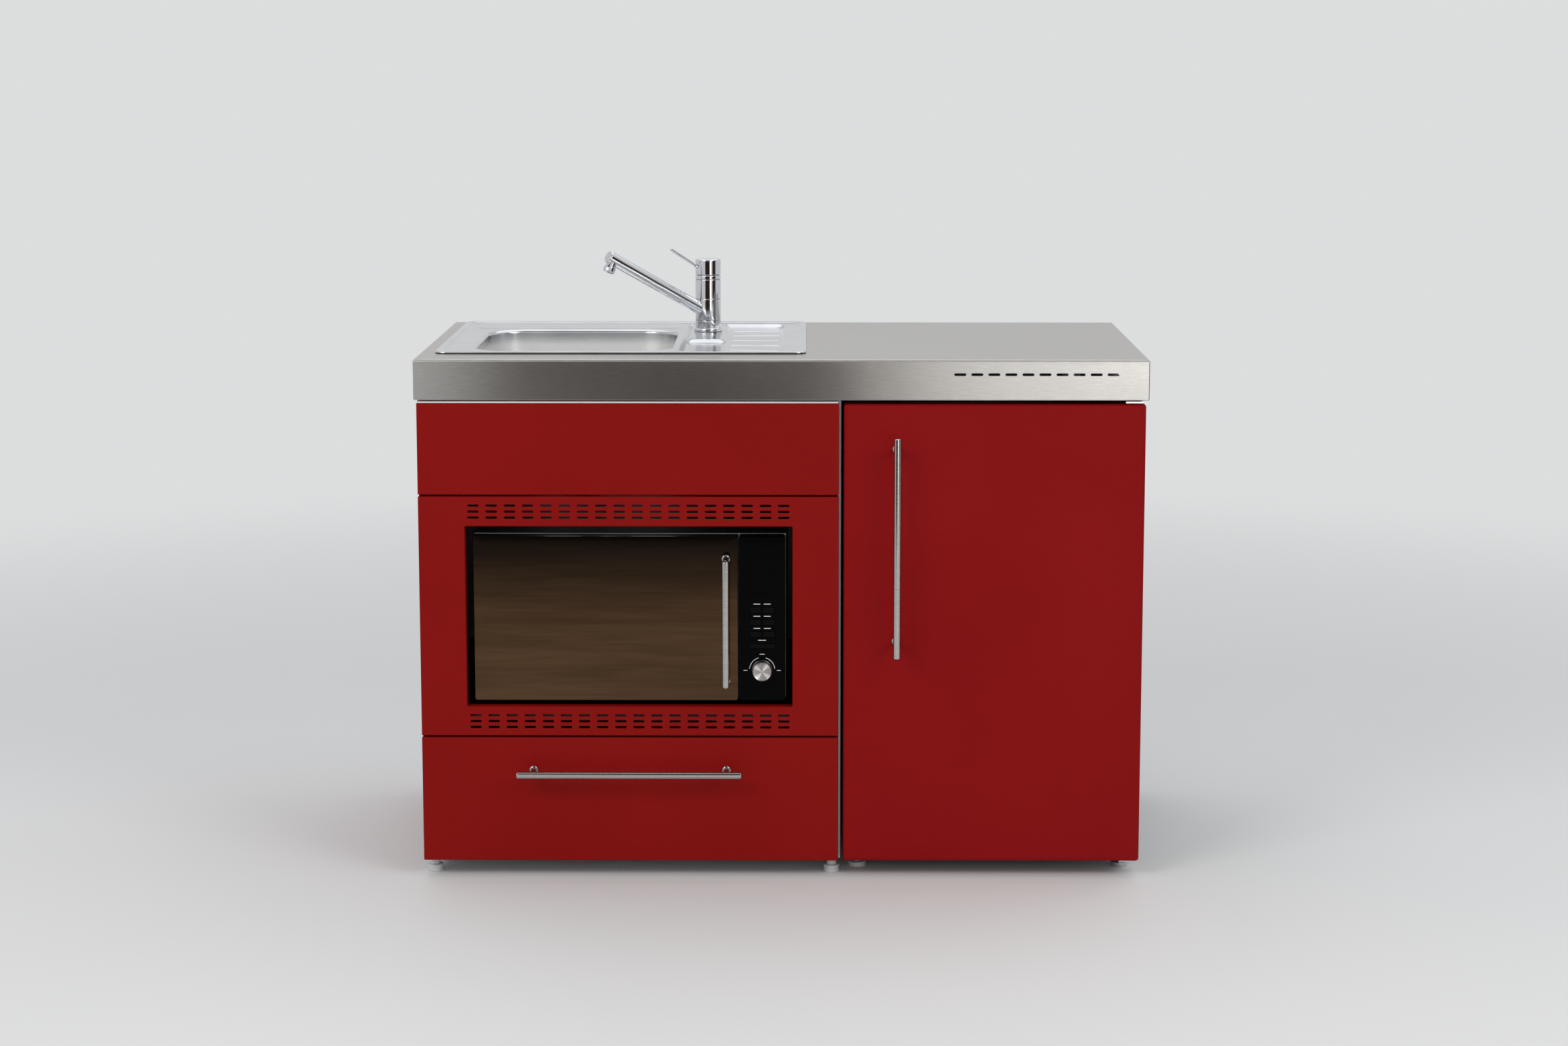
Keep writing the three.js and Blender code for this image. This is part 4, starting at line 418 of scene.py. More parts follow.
# Points and faces that are gathered for one mesh.
class Surface:
    def __init__(self):
        self.points, self.faces, self.count = [], [], 0

    # Quads between neighbouring rows and columns of a grid of points, apart from those left out.
    def grid(self, points, closed=True, keep=None):
        rows, columns = points.shape[:2]
        i, j = np.meshgrid(np.arange(rows - 1), np.arange(columns - (not closed)), indexing="ij")
        after = (j + 1) % columns
        near, far = i * columns, (i + 1) * columns
        quads = np.stack([near + j, near + after, far + after, far + j], -1)
        quads = quads.reshape(-1, 4) if keep is None else quads[keep]
        self.points.append(points.reshape(-1, 3))
        self.faces += (quads + self.count).tolist()
        self.count += rows * columns
        return self

    # Cells with a slot in them: rim holds the slot's points in a unit cell, one quarter after another, and
    # each quarter is joined to the corner of the cell that it lies nearest.
    def slotted(self, corners, rim):
        quarter = len(rim) // 4
        u, v = rim[:, 0], rim[:, 1]
        weights = np.stack([(1 - u) * (1 - v), u * (1 - v), u * v, (1 - u) * v], 1)
        points = np.concatenate([corners, np.einsum("mk,ckd->cmd", weights, corners)], 1)
        corner = np.array([2, 3, 0, 1])
        step = np.arange(len(rim)).reshape(4, quarter)
        before, after = 4 + step[:, :-1].ravel(), 4 + step[:, 1:].ravel()
        fans = np.stack([np.repeat(corner, quarter - 1), before, after], 1)
        joints = np.stack([corner, 4 + step[:, -1], 4 + np.roll(step[:, 0], -1), np.roll(corner, -1)], 1)
        start = self.count + np.arange(len(corners))[:, None, None] * points.shape[1]
        self.points.append(points.reshape(-1, 3))
        self.faces += (fans + start).reshape(-1, 3).tolist() + (joints + start).reshape(-1, 4).tolist()
        self.count += points.shape[0] * points.shape[1]
        return self


# A stadium-shaped slot in a unit cell, in four equal quarters from the middle of its right end.
def slotRim(length, height, cellLength, cellHeight, steps=4):
    angle = np.linspace(0, math.pi / 2, steps + 1)
    r = height / 2
    quarter = np.stack([length / 2 - r + r * np.cos(angle), r * np.sin(angle)], 1)
    quarters = [quarter, quarter[::-1] * (-1, 1), -quarter, quarter[::-1] * (1, -1)]
    return 0.5 + np.concatenate(quarters) / (cellLength, cellHeight)


# A mesh from a surface, merged, then thickened inwards, bevelled and smoothed up to an angle; facing is
# the side that an open surface shows.
def makePiece(name, surface, finish, body, nodes=(), facing=None, thickness=0, bevel=0,
              angle=32):
    mesh = bpy.data.meshes.new(name)
    if isinstance(surface, Surface):
        mesh.from_pydata(np.concatenate(surface.points).tolist(), [], surface.faces)
    else:
        surface.to_mesh(mesh)
    work = bmesh.new()
    work.from_mesh(mesh)
    bmesh.ops.remove_doubles(work, verts=work.verts, dist=2e-6)
    bmesh.ops.dissolve_degenerate(work, dist=1e-6, edges=work.edges)
    bmesh.ops.recalc_face_normals(work, faces=work.faces)
    if facing is not None and sum(f.calc_area() * f.normal.dot(facing) for f in work.faces) < 0:
        bmesh.ops.reverse_faces(work, faces=work.faces)
    work.to_mesh(mesh)
    work.free()
    piece = bpy.data.objects.new(name, mesh)
    scene.collection.objects.link(piece)
    if thickness:
        solid = piece.modifiers.new("sheet", "SOLIDIFY")
        solid.thickness, solid.offset = thickness, -1
        evaluated = piece.evaluated_get(bpy.context.evaluated_depsgraph_get())
        piece.data = bpy.data.meshes.new_from_object(evaluated)
        piece.modifiers.clear()
    piece.data.shade_smooth()
    piece.data.set_sharp_from_angle(angle=math.radians(angle))
    piece.data.materials.clear()
    piece.data.materials.append(finishes[finish])
    if bevel:
        soften = piece.modifiers.new("edges", "BEVEL")
        soften.width, soften.segments, soften.limit_method = bevel, 2, "ANGLE"
        soften.angle_limit, soften.harden_normals = math.radians(40), True
        soften.use_clamp_overlap = True
    else:
        piece.modifiers.new("normals", "WEIGHTED_NORMAL").keep_sharp = True
    if nodes:
        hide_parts(*nodes)
    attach(piece, body)
    return piece


# A CAD node's own shape with its edges broken: its triangles are merged and joined where they are flat.
def softened(node, name, finish, body, bevel):
    work = bmesh.new()
    work.from_mesh(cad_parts[node].data)
    bmesh.ops.remove_doubles(work, verts=work.verts, dist=2e-6)
    bmesh.ops.dissolve_limit(work, angle_limit=math.radians(0.5), verts=work.verts, edges=work.edges)
    return makePiece(name, work, finish, body, [node], bevel=bevel)


# A node's box as two arrays.
def boxOf(node):
    low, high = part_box(node)
    return np.array(low), np.array(high)


# A ring of points round a rectangle: its grid lines along the sides, and an arc of points at each corner.
def frameRing(xs, ys, inset, radius, steps=3):
    xs, ys = np.asarray(xs, float), np.asarray(ys, float)
    x0, x1, y0, y1 = xs[0] + inset, xs[-1] - inset, ys[0] + inset, ys[-1] - inset
    alongX = np.clip(xs[1:-1], x0 + radius, x1 - radius)
    alongY = np.clip(ys[1:-1], y0 + radius, y1 - radius)
    angle = np.linspace(0, math.pi / 2, steps + 1)

    # A quarter circle, radius (cos, sin) from its centre.
    def arc(cx, cy, turn):
        return np.stack([cx + radius * np.cos(angle + turn), cy + radius * np.sin(angle + turn)], 1)

    # Grid lines along x at one y, or with both exchanged.
    def side(along, across, flip):
        line = np.stack([along, np.full(len(along), across)], 1)
        return line[:, ::-1] if flip else line

    return np.concatenate([
        side(alongX, y0, False), arc(x1 - radius, y0 + radius, -math.pi / 2),
        side(alongY, x1, True), arc(x1 - radius, y1 - radius, 0),
        side(alongX[::-1], y1, False), arc(x0 + radius, y1 - radius, math.pi / 2),
        side(alongY[::-1], x0, True), arc(x0 + radius, y0 + radius, math.pi)])


# Rows of such rings at [inset, radius, depth] levels.
def frameRings(xs, ys, levels, place, steps=3):
    rows = np.stack([frameRing(xs, ys, inset, radius, steps) for inset, radius, depth in levels])
    depths = np.array([depth for inset, radius, depth in levels])[:, None]
    return place(rows[..., 0], rows[..., 1], np.broadcast_to(depths, rows.shape[:2]))


# The levels of a folded edge: from its free rim up its wall, round its radius and onto the face.
def foldLevels(depth, radius, corner, steps=4):
    wall = [(0, corner, depth), (0, corner, (depth + radius) / 2)]
    turn = np.linspace(0, math.pi / 2, steps + 1)
    inset = radius * (1 - np.cos(turn))
    drop = radius * (1 - np.sin(turn))
    return wall + [(s, max(corner - s, 0), d) for s, d in zip(inset, drop)]


# A face of a sheet: a grid whose cells in a hole or a slot are left out.
def sheetFace(surface, xs, ys, place, holes=(), slots=(), rim=None, height=None):
    x, y = np.meshgrid(xs, ys)
    depth = np.zeros_like(x) if height is None else -height(x, y)
    keep = np.ones((len(ys) - 1, len(xs) - 1), bool)
    midX, midY = (x[:-1, :-1] + x[1:, 1:]) / 2, (y[:-1, :-1] + y[1:, 1:]) / 2
    for x0, x1, y0, y1 in (*holes, *slots):
        keep &= ~((midX > x0) & (midX < x1) & (midY > y0) & (midY < y1))
    surface.grid(place(x, y, depth), closed=False, keep=keep)
    if len(slots):
        corners = np.array([[(x0, y0), (x1, y0), (x1, y1), (x0, y1)] for x0, x1, y0, y1 in slots])
        surface.slotted(place(corners[..., 0], corners[..., 1], np.zeros(corners.shape[:2])), rim)


# Sorted grid lines, with near doubles dropped.
def lines(*parts):
    values = np.sort(np.concatenate([np.atleast_1d(np.asarray(p, float)) for p in parts]))
    return values[np.concatenate([[True], np.diff(values) > 2e-5])]


# The lines of a face inside a fold of some radius, between the face's new ends.
def insideFold(values, radius):
    return lines(values[0] + radius, values[1:-1], values[-1] - radius)


# Evenly spaced lines between two, both included.
def between(low, high, pitch):
    return np.linspace(low, high, max(2, int(math.ceil((high - low) / pitch)) + 1))


worktopValues = {
    "edgeRadius": 4 * mm, "cornerRadius": 2 * mm, "sheet": 1.5 * mm, "apron": 67 * mm,
    "lip": [(10, 0.2, 0), (1.2, 0.8, 0), (0.3, 1.7, 0.4), (0, 2, 1.4)],  # mm: inset, corner, height
    "cutInset": 9 * mm, "cutCorner": 9 * mm,  # the sink's cut-out, inside the sink's rim
    "slotCount": 10, "slotLength": 19.6 * mm, "slotHeight": 4.3 * mm, "slotPitch": 27.7 * mm,
    "slotMargin": 49.4 * mm, "slotBelow": 24.5 * mm, "cellLength": 24 * mm, "cellHeight": 12 * mm,
    "gridMargin": 30 * mm, "gridPitch": 60 * mm}


# The top runs over a radius into the apron, whose lip turns back under it; the apron has a row of slots.
def makeWorktop():
    v = worktopValues
    low, high = boxOf("worktop")
    sinkLow, sinkHigh = boxOf("sink")
    top, corner, margin = high[2], v["cutCorner"], v["gridMargin"]
    cut = v["cutInset"]
    hole = (sinkLow[0] + cut - corner, sinkHigh[0] - cut + corner,
            sinkLow[1] + cut - corner, sinkHigh[1] - cut + corner)
    halfCell = v["cellLength"] / 2
    lastSlot = high[0] - v["slotMargin"] - v["slotLength"] / 2
    middles = lastSlot - np.arange(v["slotCount"])[::-1] * v["slotPitch"]
    xs = lines(low[0], high[0], between(low[0] + margin, high[0] - margin, v["gridPitch"]),
               middles - halfCell, middles + halfCell, hole[:2])
    ys = lines(low[1], high[1], between(low[1] + margin, high[1] - margin, v["gridPitch"]), hole[2:])
    upper, lower = v["slotBelow"] - v["cellHeight"] / 2, v["slotBelow"] + v["cellHeight"] / 2
    lip = [(inset * mm, radius * mm, v["apron"] - up * mm) for inset, radius, up in v["lip"]]
    slotBand = [(0, v["cornerRadius"], lower), (0, v["cornerRadius"], upper)]
    levels = lip + slotBand + foldLevels(v["apron"], v["edgeRadius"], v["cornerRadius"])[2:]
    rings = frameRings(xs, ys, levels, facingUp(top))
    skin = Surface()
    keep = np.ones((len(levels) - 1, rings.shape[1]), bool)
    bandRow = len(lip)
    cellMiddles = (rings[bandRow, :, 0] + np.roll(rings[bandRow, :, 0], -1)) / 2
    onFront = np.arange(rings.shape[1]) < len(xs) - 3
    for middle in middles:
        keep[bandRow] &= ~(onFront & (abs(cellMiddles - middle) < halfCell))
    skin.grid(rings, keep=keep)
    corners = np.array([[(m - halfCell, top - lower), (m + halfCell, top - lower),
                         (m + halfCell, top - upper), (m - halfCell, top - upper)] for m in middles])
    rim = slotRim(v["slotLength"], v["slotHeight"], v["cellLength"], v["cellHeight"])
    flat = np.zeros(corners.shape[:2])
    skin.slotted(facingFront(low[1])(corners[..., 0], corners[..., 1], flat), rim)
    sheetFace(skin, insideFold(xs, v["edgeRadius"]), insideFold(ys, v["edgeRadius"]), facingUp(top),
              holes=[hole])
    insideX = lines(hole[:2], xs[(xs > hole[0]) & (xs < hole[1])])
    insideY = lines(hole[2:], ys[(ys > hole[2]) & (ys < hole[3])])
    edge = [(0, 0, 0), (corner, corner, 0), (corner, corner, v["sheet"])]
    skin.grid(frameRings(insideX, insideY, edge, facingUp(top)))
    makePiece("worktopSheet", skin, "stainless", "cabinet", ["worktop"],
              facing=(0, 0, 1), thickness=v["sheet"])


bearerValues = {"left": (162.7 * mm, 495.7 * mm), "width": 40 * mm, "top": 868.3 * mm,
                "front": -160 * mm, "back": 280 * mm, "bend": (0.6 * mm, 2 * mm), "sheet": 1.5 * mm}


# The two bearers that carry the worktop over the fridge: a channel open downwards, carried along y.
def makeBearers():
    v = bearerValues
    foot, top = boxOf("worktop")[0][2], v["top"]
    near, far = v["bend"]
    half = [(0, foot), (0, top - far), (near, top - near), (far, top)]
    channel = np.array(half + [(v["width"] - x, z) for x, z in half[::-1]])
    y = np.linspace(v["front"], v["back"], 9)[:, None]
    rows = Surface()
    for left in v["left"]:
        points = np.broadcast_arrays(left + channel[:, 0], y, channel[:, 1])
        rows.grid(np.stack(points, -1), closed=False)
    makePiece("worktopBearers", rows, "zinc", "cabinet", (),
              facing=(0, 0, 1), thickness=v["sheet"])


makeWorktop()
makeBearers()
print("worktop done")


sinkValues = {
    "deck": 2 * mm, "rim": 4 * mm, "corner": 18 * mm, "sheet": 1.6 * mm,
    "rimFoot": [(1.2, 1.2), (0.3, 1.2), (0, 1.5), (0, 2.2)], "rimRound": 2,  # mm: inset, height
    "rimTop": [(6, 4), (9.5, 3.9), (11.5, 3.3), (13.5, 2.5), (15.5, 2.05), (18, 2)],
    "bowl": (60 * mm, 390 * mm, 30 * mm, 367 * mm), "bowlCorner": 65 * mm, "bowlDepth": 150 * mm,
    "bowlMargin": 8 * mm, "roll": 6 * mm, "draft": 4 * mm, "fillet": 36 * mm, "wasteRadius": 41 * mm,
    "fall": 2.5 * mm,  # of the bowl's floor towards the waste
    "drainer": (403 * mm, 578 * mm, 24 * mm, 467 * mm), "drainerCorner": 20 * mm, "drop": 6 * mm,
    "grooves": 5, "groovePitch": 81 * mm, "grooveDepth": 2.5 * mm, "grooveWidth": 3.9 * mm, "fan": 0.92,
    "grooveFrom": 490 * mm, "grooveTo": 568 * mm,
    "platform": (412.5 * mm, 473.5 * mm, 212 * mm, 520 * mm), "platformCorner": 12 * mm,
    "ledge": (24 * mm, 399 * mm, 384 * mm, 482 * mm), "ledgeCorner": 26 * mm, "ledgeHeight": 1 * mm,
    "sealInset": 1.6 * mm, "sealCorner": 16.4 * mm, "sealTop": 1.35 * mm, "sealThickness": 1.3 * mm,
    "sealWidth": 6 * mm}


# How far inside a rectangle with round corners a point lies; negative outside it.
def insideOf(x, y, rect, radius):
    x0, x1, y0, y1 = rect
    fromMiddle = np.stack([abs(x - (x0 + x1) / 2) - (x1 - x0) / 2 + radius,
                           abs(y - (y0 + y1) / 2) - (y1 - y0) / 2 + radius])
    outside = np.hypot(*np.maximum(fromMiddle, 0))
    return radius - outside - np.minimum(np.max(fromMiddle, axis=0), 0)


# Height over the worktop: the drainer sinks round the tap's platform, its grooves fan out towards their
# far ends, and the ledge behind the bowl stands up. Each step is a smooth ramp of the distance inside it.
def deckHeight(x, y):
    v = sinkValues
    tray = insideOf(x, y, v["drainer"], v["drainerCorner"])
    island = insideOf(x, y, v["platform"], v["platformCorner"])
    sunk = smooth(-1.5 * mm, 9 * mm, np.minimum(tray, -island + 2 * mm))
    middle = (v["drainer"][2] + v["drainer"][3]) / 2
    along = np.clip((x - v["grooveFrom"]) / (v["grooveTo"] - v["grooveFrom"]), 0, 1)
    flow = (y - middle) / (v["fan"] + (1 - v["fan"]) * along) / v["groovePitch"]
    nearest = np.clip(np.round(flow), -(v["grooves"] // 2), v["grooves"] // 2)
    across = abs(flow - nearest) * v["groovePitch"]
    beyond = np.maximum(np.maximum(v["grooveFrom"] - x, x - v["grooveTo"]), 0)
    grooves = 1 - smooth(0.8 * mm, v["grooveWidth"] + 1 * mm, np.hypot(across, beyond))
    ledge = smooth(-1 * mm, 4 * mm, insideOf(x, y, v["ledge"], v["ledgeCorner"]))
    return v["deck"] - v["drop"] * sunk - v["grooveDepth"] * grooves + v["ledgeHeight"] * ledge


# Points on a rectangle with round corners at fractions of its four sides, from the middle of each corner.
def roundedLoop(rect, radius, fractions):
    x0, x1, y0, y1 = rect
    loop = []
    for side, f in enumerate(fractions):
        turn = side * math.pi / 2
        across, height = (x1 - x0, y1 - y0) if side % 2 == 0 else (y1 - y0, x1 - x0)
        arc, straight = radius * math.pi / 4, across - 2 * radius
        s = np.asarray(f) * (straight + 2 * arc)
        first, last = np.clip(s, 0, arc), np.clip(s - arc - straight, 0, arc)
        angle = math.pi * 1.25 + np.where(s <= arc + straight, first, arc) / radius + last / radius
        along = -across / 2 + radius + np.clip(s - arc, 0, straight)
        up = -height / 2 + radius + radius * np.sin(angle)
        local = np.stack([along + radius * np.cos(angle), up], 1)
        rotate = np.array([[math.cos(turn), math.sin(turn)], [-math.sin(turn), math.cos(turn)]])
        loop.append(local @ rotate)
    return np.concatenate(loop) + ((x0 + x1) / 2, (y0 + y1) / 2)


deckGrid = {  # how far apart its lines are: over the bowl, the platform, before and across the grooves
    "bowl": 6 * mm, "platform": 7 * mm, "before": 4 * mm, "across": 1.25 * mm, "ends": 1.2 * mm,
    "grooveReach": 5.6 * mm, "rim": 19 * mm, "least": 0.5 * mm,
    "step": (-3.2, -1.6, 0, 1.8, 3.6, 5.4, 7.2, 9)}  # mm: from the edge of a step


# The grid lines that the deck needs: close together over each step and each groove, and apart elsewhere;
# under the rim there are none but the ends.
def deckLines(width, depth, hole):
    v, g = sinkValues, deckGrid
    x0, x1, y0, y1 = v["drainer"]
    p0, p1, front = v["platform"][:3]
    ledge, start, end = v["ledge"], v["grooveFrom"], v["grooveTo"]
    step, edge, middle = np.array(g["step"]) * mm, g["rim"] + 1 * mm, (y0 + y1) / 2
    grooveLines = []
    for k in range(-(v["grooves"] // 2), v["grooves"] // 2 + 1):
        near, far = sorted((k * v["groovePitch"] * v["fan"], k * v["groovePitch"]))
        grooveLines.append(between(middle + near - g["grooveReach"], middle + far + g["grooveReach"],
                                   g["across"]))
    xs = lines(0, width, edge, width - edge, between(edge + 6 * mm, hole[0] - 6 * mm, g["bowl"]),
               between(hole[0], hole[1], g["bowl"]), x0 + step, x1 - step, p0 - step, p1 + step,
               between(p0 + 8 * mm, p1 - 8 * mm, g["platform"]),
               between(p1 + 8 * mm, start - 8 * mm, g["before"]),
               between(start - 6 * mm, start + 6 * mm, g["ends"]),
               between(end - 5 * mm, end + 6 * mm, g["ends"]),
               between(start + 10 * mm, end - 9 * mm, g["bowl"]), ledge[0] + step)
    ys = lines(0, depth, edge, depth - edge, y0 + step, y1 - step, front - step, ledge[2] + step,
               ledge[3] - step, *grooveLines, between(hole[2], hole[3], g["bowl"]),
               between(hole[3] + 5 * mm, y1 - 8 * mm, g["platform"]))
    clear = []
    for values, length in ((xs, width), (ys, depth)):
        inner = (values > g["rim"]) & (values < length - g["rim"])
        values = values[(values == 0) | (values == length) | inner]
        clear.append(values[np.concatenate([[True], np.diff(values) > g["least"]])])
    return clear


# The pressing: the rim's profile runs round it, the deck is a height over a grid, and the bowl is a stack
# of rounded rectangles down its rolled edge, its drafted wall and its fillet to the waste.
def makeSink():
    v = sinkValues
    low, high = boxOf("sink")
    width, depth = high[0] - low[0], high[1] - low[1]
    origin = np.array([low[0], low[1], high[2] - v["rim"]])
    b, corner, margin = v["bowl"], v["corner"], v["bowlMargin"]

    # From the sink's own corner to the frame; the third value runs down from the worktop.
    def place(x, y, drop):
        return np.stack([x, y, -drop], -1) + origin

    xs, ys = deckLines(width, depth, (b[0] - margin, b[1] + margin, b[2] - margin, b[3] + margin))
    hx = xs[np.argmin(abs(xs[:, None] - (b[0] - margin, b[1] + margin)), axis=0)]
    hy = ys[np.argmin(abs(ys[:, None] - (b[2] - margin, b[3] + margin)), axis=0)]
    r, foot = v["rimRound"], v["rim"] / mm - v["rimRound"]
    bend = [(r * (1 - math.cos(a)), foot + r * math.sin(a)) for a in np.radians([22, 45, 68, 90])]
    levels = [(s * mm, corner - s * mm, -z * mm) for s, z in v["rimFoot"] + bend + v["rimTop"]]
    skin = Surface()
    skin.grid(frameRings(xs, ys, levels, place, steps=7))
    sheetFace(skin, insideFold(xs, corner), insideFold(ys, corner), place,
              holes=[(hx[0], hx[1], hy[0], hy[1])], height=deckHeight)

    inX, inY = xs[(xs >= hx[0]) & (xs <= hx[1])], ys[(ys >= hy[0]) & (ys <= hy[1])]
    fx, fy = (inX - hx[0]) / (hx[1] - hx[0]), (inY - hy[0]) / (hy[1] - hy[0])
    fractions = [fx[:-1], fy[:-1], (1 - fx[::-1])[:-1], (1 - fy[::-1])[:-1]]
    outer = np.roll(frameRing(inX, inY, 0, 0, 0), 1, axis=0)
    rows, drops = [outer], [-deckHeight(outer[:, 0], outer[:, 1])]

    # One row of the bowl: its rectangle drawn in, at a level.
    def ring(inside, level):
        rect = (b[0] + inside, b[1] - inside, b[2] + inside, b[3] - inside)
        rows.append(roundedLoop(rect, max(v["bowlCorner"] - inside, 12 * mm), fractions))
        drops.append(np.full(len(outer), level))

    deck, roll, fillet, draft = -v["deck"], v["roll"], v["fillet"], v["draft"]
    floor = v["bowlDepth"] + deck
    for a in np.radians([0, 15, 35, 55, 75, 90]):
        ring(-roll * (1 - math.sin(a)), deck + roll * (1 - math.cos(a)))
    for t in (0.2, 0.5, 0.8, 1):
        ring(draft * t, deck + roll + t * (floor - fillet - deck - roll))
    for a in np.radians([12, 25, 38, 51, 64, 77, 90]):
        level = floor - fillet * (1 - math.sin(a)) - v["fall"] * math.sin(a)
        ring(draft + fillet * (1 - math.cos(a)), level)
    last, centre = rows[-1], np.array([(b[0] + b[1]) / 2, (b[2] + b[3]) / 2])
    away, around = np.linalg.norm(last - centre, axis=1, keepdims=True), unit(last - centre)
    for t in (0.25, 0.5, 0.72, 0.9, 1):
        rows.append(centre + around * ((1 - t) * away + t * v["wasteRadius"]))
        drops.append(np.full(len(outer), floor - v["fall"] * (1 - t)))
    points = np.stack(rows)
    skin.grid(place(points[..., 0], points[..., 1], np.stack(drops)))
    makePiece("sinkPressing", skin, "pressedSteel", "cabinet", ["sink"],
              facing=(0, 0, 1), thickness=v["sheet"], angle=50)


# The seal under the sink's edge, in black: a real seal that also stands as painted shadow under the rim; a
# flat ring, so the slab's end points are left out.
def makeSealPaintedShadow():
    v = sinkValues
    low, high = boxOf("sink")
    s, t, width = v["sealInset"], v["sealThickness"], v["sealWidth"]
    levels = [(width, 0), (0, 0), (0, t), (width, t)]
    top = high[2] - v["rim"] + v["sealTop"]
    seal = slab(low[0] + s, high[0] - s, low[1] + s, high[1] - s, v["sealCorner"], levels, facingUp(top))
    makePiece("sinkSealPaintedShadow", Surface().grid(seal[1:-1]), "blackGloss", "cabinet", ())


makeSealPaintedShadow()
makeSink()
print("sink done")


wasteValues = {  # profiles of [radius, height over the bowl's floor] in mm
    "floor": 722 * mm, "sheet": 1.1 * mm, "sieveSides": 72, "sievePitch": 8, "sieveSlot": 2,
    "flange": [(37, 1.0), (37.2, 1.9), (38.5, 2.3), (46, 2.1), (54.5, 1.5), (56, 0.9), (56, 0.32),
               (41.5, 0.32), (40, -1.5), (40, -12), (37.4, -12), (37.4, 0.2), (37, 1.0)],
    "basket": [(0, -32.8), (8, -32.8), (12.8, -32.8), (18, -32.8), (23, -32.8), (28.5, -32.8), (31, -32.4),
               (33, -31), (34.2, -28), (35.4, 0), (36, 2.2), (37.2, 2.9), (39.4, 2.9)],
    "knob": [(0, -32), (3, -32), (2.4, -24), (2.4, 5), (4, 6.6), (7.2, 8.4), (8, 9.8), (7.4, 11.2),
             (5.4, 11.9), (0, 12)]}


# The middle of the waste on the bowl's floor.
def wasteCentre():
    low, high = boxOf("sink_strainer")
    return (low[0] + high[0]) / 2, (low[1] + high[1]) / 2, wasteValues["floor"]


# The waste's flange and the strainer are turned; in the basket's floor each slot is two sides wide.
def makeWaste():
    v = wasteValues
    centre = wasteCentre()
    makePiece("wasteFlange", Surface().grid(turned(v["flange"], 64, centre)), "chrome", "cabinet", (),
              angle=40)
    sides = v["sieveSides"]
    row, column = np.meshgrid(np.arange(len(v["basket"]) - 1), np.arange(sides), indexing="ij")
    slots = (row >= 2) & (row <= 4) & (column % v["sievePitch"] < v["sieveSlot"])
    sieve = Surface().grid(turned(v["basket"], sides, centre), keep=~slots)
    makePiece("strainerBasket", sieve, "chrome", "strainer", ["sink_strainer"],
              facing=(0, 0, -1), thickness=v["sheet"], angle=40)
    makePiece("strainerKnob", Surface().grid(turned(v["knob"], 32, centre)), "chrome", "strainer", (),
              angle=40)


makeWaste()
print("waste done")


frontValues = {"edgeRadius": 2 * mm, "corner": 1.6 * mm, "sheet": 1.5 * mm, "gridMargin": 8 * mm,
               "gridPitch": 40 * mm, "doorRadius": 5 * mm, "doorSheet": 1.2 * mm}


# A folded tray: its face, the radius along its edges and the flange turned back round it.
def plainFront(name, node, body, finish, radius, corner, sheet):
    low, high = boxOf(node)
    margin, pitch = frontValues["gridMargin"], frontValues["gridPitch"]
    xs = lines(low[0], high[0], between(low[0] + margin, high[0] - margin, pitch))
    zs = lines(low[2], high[2], between(low[2] + margin, high[2] - margin, pitch))
    place = facingFront(low[1])
    skin = Surface().grid(frameRings(xs, zs, foldLevels(high[1] - low[1], radius, corner), place))
    sheetFace(skin, insideFold(xs, radius), insideFold(zs, radius), place)
    makePiece(name, skin, finish, body, [node], facing=(0, -1, 0), thickness=sheet)


surroundValues = {"slotLength": 19 * mm, "slotHeight": 4 * mm, "slotAcross": 30 * mm, "slotUp": 10 * mm,
                  "columns": 18, "rows": 3, "openingWidth": 538.4 * mm, "openingHeight": 302.5 * mm,
                  "openingCorner": 2 * mm, "openingMargin": 2 * mm, "gridPitch": 16 * mm,
                  "gridGap": 12 * mm, "frameGap": 20 * mm, "framePitch": 40 * mm}


